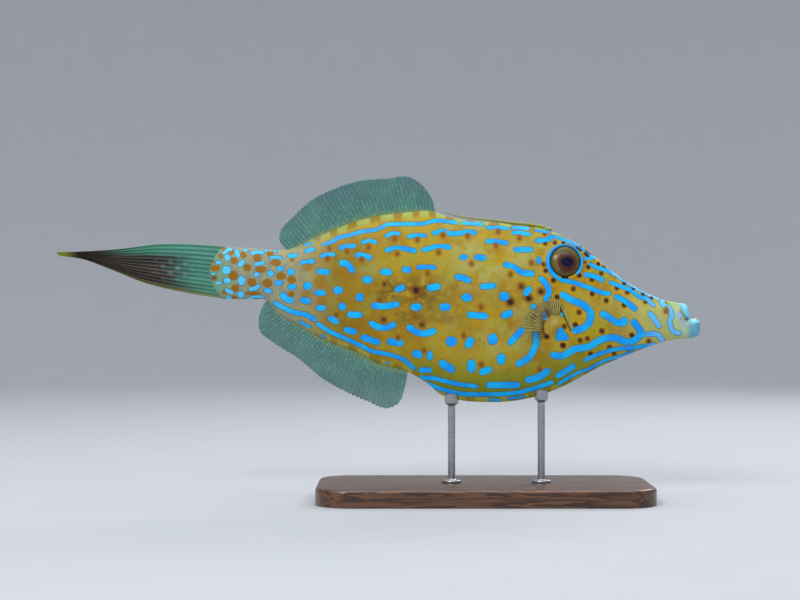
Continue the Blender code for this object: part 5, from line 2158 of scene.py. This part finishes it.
@dataclass
class ChestFin:
    """A chest fin: upper and rear rays on the fleshy lobe, fine low rays and a clear membrane.

    The roots and the tips are rows of (share round the fin, x, z), in mm. A row of rays is a
    (first share, last share, count).
    """

    side: Side
    roots: tuple[Triple, ...] = (
        (0, 156, 160), (0.2, 152.4, 160.1), (0.35, 147, 159.4), (0.5, 143.1, 156.3),
        (0.7, 142.2, 151.6), (1, 142.4, 147.5), (1.3, 145.5, 141),
    )
    tips: tuple[Triple, ...] = (
        (0, 156.3, 174.2), (0.2, 147.2, 174.2), (0.35, 139.2, 171.1), (0.5, 130.5, 165.5),
        (0.7, 124.6, 158.5), (1, 125.6, 148.1), (1.3, 129, 139.5),
    )
    columns: int = 60
    rows: int = 20
    stand: float = 1.3
    bury: float = 0.8
    bury_power: int = 6
    lift: Path = ((0, 3), (1, 7), (1.3, 2.5))
    upper_rays: RayRow = (0.0, 0.2, 5)
    rear_rays: RayRow = (0.5, 1.0, 7)
    low_rays: RayRow = (1.08, 1.3, 4)
    ray_radii: Pair = (0.52, 0.3)
    low_radii: Pair = (0.24, 0.12)
    ray_steps: int = 22
    membrane: float = 0.2
    membrane_reach: float = 0.96
    root_tint: float = 0.3

    def fan(self, share: Grid, down: Grid) -> Grid:
        """Points at shares round the fin and down its rays, which lift off the skin.

        Each point is root + (tip - root) down in x and z, and in y it is
        flank + stand - (stand + bury) (1 - down)^6 + lift down.

        Args:
            share: the shares round the fin.
            down: 0 at the root, 1 at the tip.

        Returns:
            The points in metres.
        """
        roots, tips = np.array(self.roots).T, np.array(self.tips).T
        root_x, root_z = (np.interp(share, roots[0], roots[axis]) for axis in (1, 2))
        tip_x, tip_z = (np.interp(share, tips[0], tips[axis]) for axis in (1, 2))
        x = root_x * (1 - down) + tip_x * down
        z = root_z * (1 - down) + tip_z * down
        lift = np.interp(share, *np.array(self.lift).T)
        rise = self.stand - (self.stand + self.bury) * (1 - down) ** self.bury_power
        y = self.side.value * (flank(x, z) + rise + lift * down)
        return np.stack([x, y, z], axis=-1) * MM

    def build(self, clear: Finish, ray: Finish, shade: Finish) -> None:
        """Makes the membrane, the pale rays and the dark low rays.

        Args:
            clear: the membrane's material.
            ray: the pale rays' material.
            shade: the low rays' material.
        """
        node = self.side.of("pectoral_fin")
        share = np.linspace(0, 1, self.columns)[None]
        down = np.linspace(0, 1, self.rows)[:, None]
        middle = self.fan(share, down * self.membrane_reach)
        place_membrane(node, middle, self.membrane, ease(down, self.root_tint, 0.0), clear)
        self.rays("rays", (self.upper_rays, self.rear_rays), self.ray_radii, ray)
        self.rays("low_rays", (self.low_rays,), self.low_radii, shade)

    def rays(self, name: str, groups: tuple[RayRow, ...], ends: Pair, finish: Finish) -> None:
        """Makes rows of rays as one piece.

        Args:
            name: what follows the node's name in the piece's.
            groups: the rows of rays.
            ends: radius at the root and at the tip.
            finish: their material.
        """
        down = np.linspace(0, 1, self.ray_steps)
        share = np.concatenate([np.linspace(*group) for group in groups])[:, None]
        node = self.side.of("pectoral_fin")
        place_rays(node, name, self.fan(share, down[None]), blend(ends, down), self.root_tint, finish)


@dataclass
class BackSpine:
    """The first spine of the back, laid down, with small barbs along both sides, in mm."""

    ends: Pair = (147, 57.9)
    radii: Pair = (1.5, 0.5)
    over_back: float = 0.1
    radius_over_back: float = 0.8
    lift: float = 2.4
    steps: int = 60
    sides: int = 12
    barbs: int = 22
    barb_places: Pair = (0.12, 0.95)
    barb_root: float = 0.6
    barb_tip: Triple = (-1.3, 0.9, 0.35)
    barb_radii: Pair = (0.34, 0.04)
    barb_steps: int = 4
    barb_sides: int = 5
    knob: Triple = (4.2, 2.2, 2.4)
    knob_low: float = 1.2
    knob_rings: int = 15
    knob_sides: int = 28

    def path(self, share: Grid) -> Grid:
        """The spine's middle line, which lifts off the back by 2.4 share^2.

        Args:
            share: 0 at the root, 1 at the tip.

        Returns:
            Its points.
        """
        x = blend(self.ends, share)
        over = self.over_back + blend(self.radii, share) * self.radius_over_back
        return np.stack([x, 0 * x, smooth_line(BACK_LINE, x) + over + self.lift * share**2], axis=-1)

    def all_barbs(self) -> tuple[Grid, Grid]:
        """The barbs: pairs of small cones from the spine's sides, out, back and up.

        Returns:
            Points and faces.
        """
        at = np.repeat(np.linspace(*self.barb_places, self.barbs), 2)
        side = np.tile([-1.0, 1.0], self.barbs)
        size = blend(self.radii, at)
        start = self.path(at) + np.stack([0 * at, side * size * self.barb_root, 0 * at], axis=1)
        back, out, up = self.barb_tip
        tip = start + np.stack([back + 0 * at, side * out, up + 0 * at], axis=1)
        run = np.linspace(0, 1, self.barb_steps)
        paths = start[:, None] + (tip - start)[:, None] * run[:, None]
        radii = np.broadcast_to(blend(self.barb_radii, run) * MM, paths.shape[:2])
        return tubes(paths * MM, radii, self.barb_sides)

    def root_knob(self) -> tuple[Grid, Grid]:
        """A small ellipsoid at the spine's hinge.

        Returns:
            Points and faces.
        """
        lift = np.linspace(0, np.pi, self.knob_rings)[:, None]
        turn = np.linspace(0, 2 * np.pi, self.knob_sides, endpoint=False)
        centre = self.path(np.array(0.0)) - np.array((0, 0, self.knob_low))
        ball = (np.sin(lift) * np.cos(turn), np.sin(lift) * np.sin(turn), np.cos(lift) + 0 * turn)
        points = (centre + np.stack(ball, axis=-1) * np.array(self.knob)) * MM
        return points, quads_of(self.knob_rings, self.knob_sides, wrap=True)

    def build(self, finish: Finish) -> None:
        """Makes the spine, its barbs and the knob at its root as one piece of mesh.

        Args:
            finish: its material.
        """
        share = np.linspace(0, 1, self.steps)
        stem = tubes(self.path(share)[None] * MM, blend(self.radii, share)[None] * MM, self.sides)
        pieces = [stem, self.all_barbs(), self.root_knob()]
        points = np.concatenate([one.reshape(-1, 3) for one, _ in pieces])
        counts = np.cumsum([0] + [one.size // 3 for one, _ in pieces[:-1]])
        quads = np.concatenate([faces + count for (_, faces), count in zip(pieces, counts)])
        spine = solid("dorsal_spine_barbed", points, quads, {"root": np.zeros(len(points))})
        dress(spine, finish, Slot.SKIN, "dorsal_spine")


@dataclass
class Teeth:
    """The lower front teeth: small rounded chisels round an arc, in mm and degrees."""

    arc: Pair = (273, 4.5)
    edge: float = 157.8
    root: float = 154.4
    count: int = 6
    half_spread: float = 58
    half_tooth: float = 0.46
    widths: Pair = (0.86, 1.0)
    columns: int = 12
    rows: int = 12
    thickness: float = 0.95
    lean: float = 0.35
    corner_drop: float = 0.7
    edge_thins: float = 0.5
    side_thins: float = 0.75
    sharp: float = 50

    def build(self) -> None:
        """Makes each tooth as a bent sheet: its top is lowered by 0.7 |u|^4 towards both corners."""
        pitch = 2 * self.half_spread / self.count
        u = np.linspace(-1, 1, self.columns)
        v = np.linspace(0, 1, self.rows)[:, None]
        points, quads = [], []
        for tooth in range(self.count):
            middle = -self.half_spread + pitch * (tooth + 0.5)
            turn = np.radians(middle + pitch * self.half_tooth * u * blend(self.widths, v))
            radius = self.arc[1] + self.lean * v**2
            height = self.root + (self.edge - self.corner_drop * np.abs(u) ** 4 - self.root) * v
            grid = np.stack([self.arc[0] + radius * np.cos(turn), radius * np.sin(turn), height], axis=-1)
            out = np.stack([np.cos(turn), np.sin(turn), 0 * turn], axis=-1)
            thick = self.thickness * (1 - self.edge_thins * v**2) * np.sqrt(1 - self.side_thins * u**6)
            one, faces = sheet(grid * MM, thick * MM, out)
            quads.append(faces + len(points) * one.size // 3)
            points.append(one)
        piece = solid("teeth_lower_row", np.stack(points), np.concatenate(quads), sharp=self.sharp)
        dress(piece, EnamelFinish().make(), Slot.TEETH, "teeth_lower")


@dataclass
class Stand:
    """The display stand: a lacquered board and two turned rods whose cups take the keel, in mm."""

    centre_x: float = 92
    size: Triple = (290, 130, 15)
    corner: float = 30
    edge: float = 3
    lower_edge: float = 0.5
    edge_steps: int = 8
    corner_steps: int = 20
    board_sharp: float = 40

    rods: tuple[tuple[str, float], ...] = (("front", 142), ("rear", 64))
    rod_radius: float = 3.2
    rod_gap: float = 0.3
    foot: Pair = (8.5, 2.2)
    foot_bevel: float = 0.3
    foot_round: float = 1.1
    foot_steps: int = 6
    fillet: float = 0.8
    shank_ends: float = 2
    shank_levels: int = 14
    flare: float = 3
    flare_steps: int = 8
    cup_radius: float = 6.0
    cup_height: float = 9
    cup_bevel: float = 0.4
    cup_over_keel: float = 4.2
    rod_sharp: float = 35

    def build(self) -> None:
        """Makes the board and the rods."""
        self.board()
        steel = SteelFinish().make()
        for name, place in self.rods:
            self.rod(name, place, steel)

    def board_levels(self) -> list[Pair]:
        """The board's rings: its lower edge is eased, its upper one a quarter round.

        Returns:
            The (height, inset) of each.
        """
        width, height = self.size[1:]
        quarter = np.linspace(0, np.pi / 2, self.edge_steps)
        rounded = [
            (height - self.edge + self.edge * math.sin(a), self.edge * (1 - math.cos(a))) for a in quarter
        ]
        eased = [(0, width / 2), (0, self.lower_edge), (self.lower_edge, 0)]
        return eased + rounded + [(height, width / 2)]

    def board(self) -> None:
        """The board: a rounded rectangle, ring by ring, whose corners are quarter circles."""
        length, width, _ = self.size
        corner = np.repeat(np.arange(4), self.corner_steps)
        heading = np.radians(np.tile(np.linspace(0, 90, self.corner_steps), 4) + 90 * corner)
        sign_x = np.where((corner == 1) | (corner == 2), -1, 1)
        sign_y = np.where(corner < 2, 1, -1)
        rings = []
        for level, inset in self.board_levels():
            radius = max(self.corner - inset, 0)
            over = max(inset - self.corner, 0)
            x = self.centre_x + sign_x * (length / 2 - self.corner - over) + radius * np.cos(heading)
            y = sign_y * (width / 2 - self.corner - over) + radius * np.sin(heading)
            rings.append(np.stack([x, y, np.full(x.shape, level)], axis=-1))
        quads = quads_of(len(rings), corner.size, wrap=True)
        board = solid("stand_board", np.array(rings) * MM, quads, sharp=self.board_sharp)
        dress(board, WoodFinish().make(), Slot.WOOD, "stand_base")

    def rod_profile(self, top: float) -> Path:
        """Profile of a rod as (radius, height), closed on its axis.

        The foot's edge is a quarter round, and the cup flares by a smooth step.

        Args:
            top: height of the cup's rim.

        Returns:
            The profile, bottom to top.
        """
        bottom = self.size[2] + self.rod_gap
        foot, high = self.foot
        bevel, rounding, thin, wide = self.foot_bevel, self.foot_round, self.rod_radius, self.cup_radius
        shoulder = bottom + high
        neck = top - self.cup_height
        profile = [(0, bottom), (foot - bevel, bottom), (foot, bottom + bevel), (foot, bottom + high * 0.5)]
        profile += [
            (foot - rounding * (1 - math.cos(a)), bottom + high * 0.5 + rounding * math.sin(a))
            for a in np.linspace(0, np.pi / 2, self.foot_steps)
        ]
        profile += [(thin + self.fillet, shoulder), (thin, shoulder + self.fillet)]
        shank = np.linspace(shoulder + self.shank_ends, neck - self.shank_ends, self.shank_levels)
        profile += [(thin, level) for level in shank]
        profile += [
            (thin + (wide - thin) * (3 * t * t - 2 * t**3), neck - self.shank_ends + self.flare * t)
            for t in np.linspace(0, 1, self.flare_steps)
        ]
        profile += [(wide, top - self.cup_bevel), (wide - self.cup_bevel, top), (0, top)]
        return tuple(profile)

    def rod(self, name: str, place: float, steel: Finish) -> None:
        """One turned rod, whose cup reaches over the keel's lowest line.

        Args:
            name: which rod it is.
            place: its place along the body.
            steel: its material.
        """
        top = float(smooth_line(KEEL_LINE, np.array(place))) + self.cup_over_keel
        points, quads = lathe(self.rod_profile(top), (place, 0))
        rod = solid(f"stand_rod_{name}_turned", points, quads, sharp=self.rod_sharp)
        dress(rod, steel, Slot.STEEL, f"stand_rod_{name}")


@dataclass(frozen=True)
class Light:
    """A round soft light: its place and size in metres and its power in watts."""

    name: str
    place: Triple
    size: float
    power: float


@dataclass
class Studio:
    """Pale sweep, soft lights and the camera at the photograph's viewing angle, in metres."""

    sensor: float = 36
    sweep_middle: float = 0.8
    sweep_flat: float = 2.1
    sweep_bend: float = 1.3
    sweep_top: float = 2.4
    sweep_sides: int = 96
    bend_steps: int = 24
    paper: Colour = srgb(180, 183, 188)
    paper_shade: Colour = srgb(175, 179, 184)
    lights: tuple[Light, ...] = (
        Light("key", (-0.8, -1.6, 1.5), 0.7, 26.0),
        Light("top", (0.1, 0.1, 1.9), 1.4, 18.0),
        Light("rim", (0.9, 1.2, 1.1), 0.7, 8.0),
    )
    aim: Triple = (0.02, 0.0, 0.16)
    surround: Colour = (0.93, 0.96, 1.0, 1.0)
    surround_strength: float = 0.85

    def build(self) -> None:
        """Makes the sweep, the lights, the world and the camera."""
        self.sweep()
        for light in self.lights:
            self.light(light)
        self.world()
        self.camera()

    def sweep(self) -> None:
        """Floor and backdrop in one round sheet: level, then a quarter circle, then upright."""
        bend = np.linspace(0, np.pi / 2, self.bend_steps)
        radius = np.concatenate([[0, self.sweep_middle], self.sweep_flat + self.sweep_bend * np.sin(bend)])
        height = np.concatenate([[0, 0], self.sweep_bend * (1 - np.cos(bend))])
        radius, height = np.append(radius, radius[-1]), np.append(height, self.sweep_top)
        turn = np.linspace(0, 2 * np.pi, self.sweep_sides, endpoint=False)
        x, y = radius[:, None] * np.cos(turn), radius[:, None] * np.sin(turn)
        points = np.stack([x, y, height[:, None] + 0 * x], axis=-1)
        mesh = bpy.data.meshes.new("sweep")
        quads = quads_of(len(radius), self.sweep_sides, wrap=True)
        mesh.from_pydata(points.reshape(-1, 3).tolist(), [], quads.tolist())
        mesh.shade_smooth()
        floor = bpy.data.objects.new("sweep", mesh)
        bpy.context.scene.collection.objects.link(floor)
        bench = NodeBench("sweep_paper")
        tone = bench.mix(bench.noise(60), self.paper, self.paper_shade)
        mesh.materials.append(bench.finish(Base_Color=tone, Roughness=0.8))
        LOG.info("sweep: %d faces", len(quads))

    def light(self, light: Light) -> None:
        """Makes one light, aimed at the fish.

        Args:
            light: the light.
        """
        lamp = bpy.data.lights.new(light.name, "AREA")
        lamp.shape = "DISK"
        lamp.size = light.size
        lamp.energy = light.power
        made = bpy.data.objects.new(light.name, lamp)
        made.location = light.place
        made.rotation_euler = (Vector(self.aim) - Vector(light.place)).to_track_quat("-Z", "Y").to_euler()
        bpy.context.scene.collection.objects.link(made)

    def world(self) -> None:
        """An even pale surround."""
        world = bpy.data.worlds.new("studio")
        world.use_nodes = True
        background = world.node_tree.nodes["Background"]
        background.inputs["Color"].default_value = self.surround
        background.inputs["Strength"].default_value = self.surround_strength
        bpy.context.scene.world = world

    def camera(self) -> None:
        """A level camera square to the right flank, whose view is as wide as the photograph's."""
        lens = bpy.data.cameras.new("camera")
        lens.sensor_width = self.sensor
        lens.lens = self.sensor * CAMERA_AWAY / (PHOTO_WIDTH * PIXEL)
        made = bpy.data.objects.new("camera", lens)
        made.location = (MIDDLE_X * MM, -CAMERA_AWAY * MM, MIDDLE_Z * MM)
        made.rotation_euler = (math.pi / 2, 0, 0)
        bpy.context.scene.collection.objects.link(made)
        bpy.context.scene.camera = made


def fin_finishes() -> dict[str, Finish]:
    """Makes the finishes of the fins and the back spine.

    Returns:
        The materials by name.
    """
    green = srgb(132, 150, 78)
    brown = srgb(120, 92, 40)
    finishes = (
        FinFinish(
            "fin_membrane", srgb(8, 98, 104), srgb(34, 120, 108), green,
            fleck_size=16, alpha=0.52, rough=0.35,
        ),
        FinFinish("fin_rays", srgb(58, 136, 112), srgb(96, 168, 134), green, fleck_size=3.2),
        FinFinish(
            "chest_membrane", srgb(122, 112, 76), srgb(140, 132, 104), brown,
            fleck_size=9, alpha=0.32, rough=0.35,
        ),
        FinFinish("chest_rays", srgb(172, 162, 66), srgb(184, 178, 100), brown),
        FinFinish("chest_shade", srgb(70, 52, 24), srgb(88, 66, 30), brown),
        FinFinish("spine_skin", srgb(142, 138, 52), srgb(120, 140, 70), green, rough=0.5),
    )
    return {finish.name: finish.make() for finish in finishes}


def main() -> None:
    """Builds the fish, its stand and the studio."""
    logging.basicConfig(level=logging.INFO, format="%(name)s: %(message)s")
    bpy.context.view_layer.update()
    Skin().build()
    eye = EyeFinish().make()
    fins = fin_finishes()
    for side in Side:
        Eye(side).build(eye)
        ChestFin(side).build(fins["chest_membrane"], fins["chest_rays"], fins["chest_shade"])
    dorsal = LongFin("dorsal_fin", Edge.BACK, DORSAL_ROOT, DORSAL_MARGIN, rays=44, lean=(8, 46))
    anal = LongFin("anal_fin", Edge.KEEL, ANAL_ROOT, ANAL_MARGIN, rays=46, lean=(3, 64))
    for fin in (dorsal, anal):
        fin.build(fins["fin_membrane"], fins["fin_rays"])
    TailFin().build()
    BackSpine().build(fins["spine_skin"])
    Teeth().build()
    Stand().build()
    Studio().build()
    bpy.context.scene.view_settings.view_transform = "Standard"


if __name__ == "__main__":
    main()
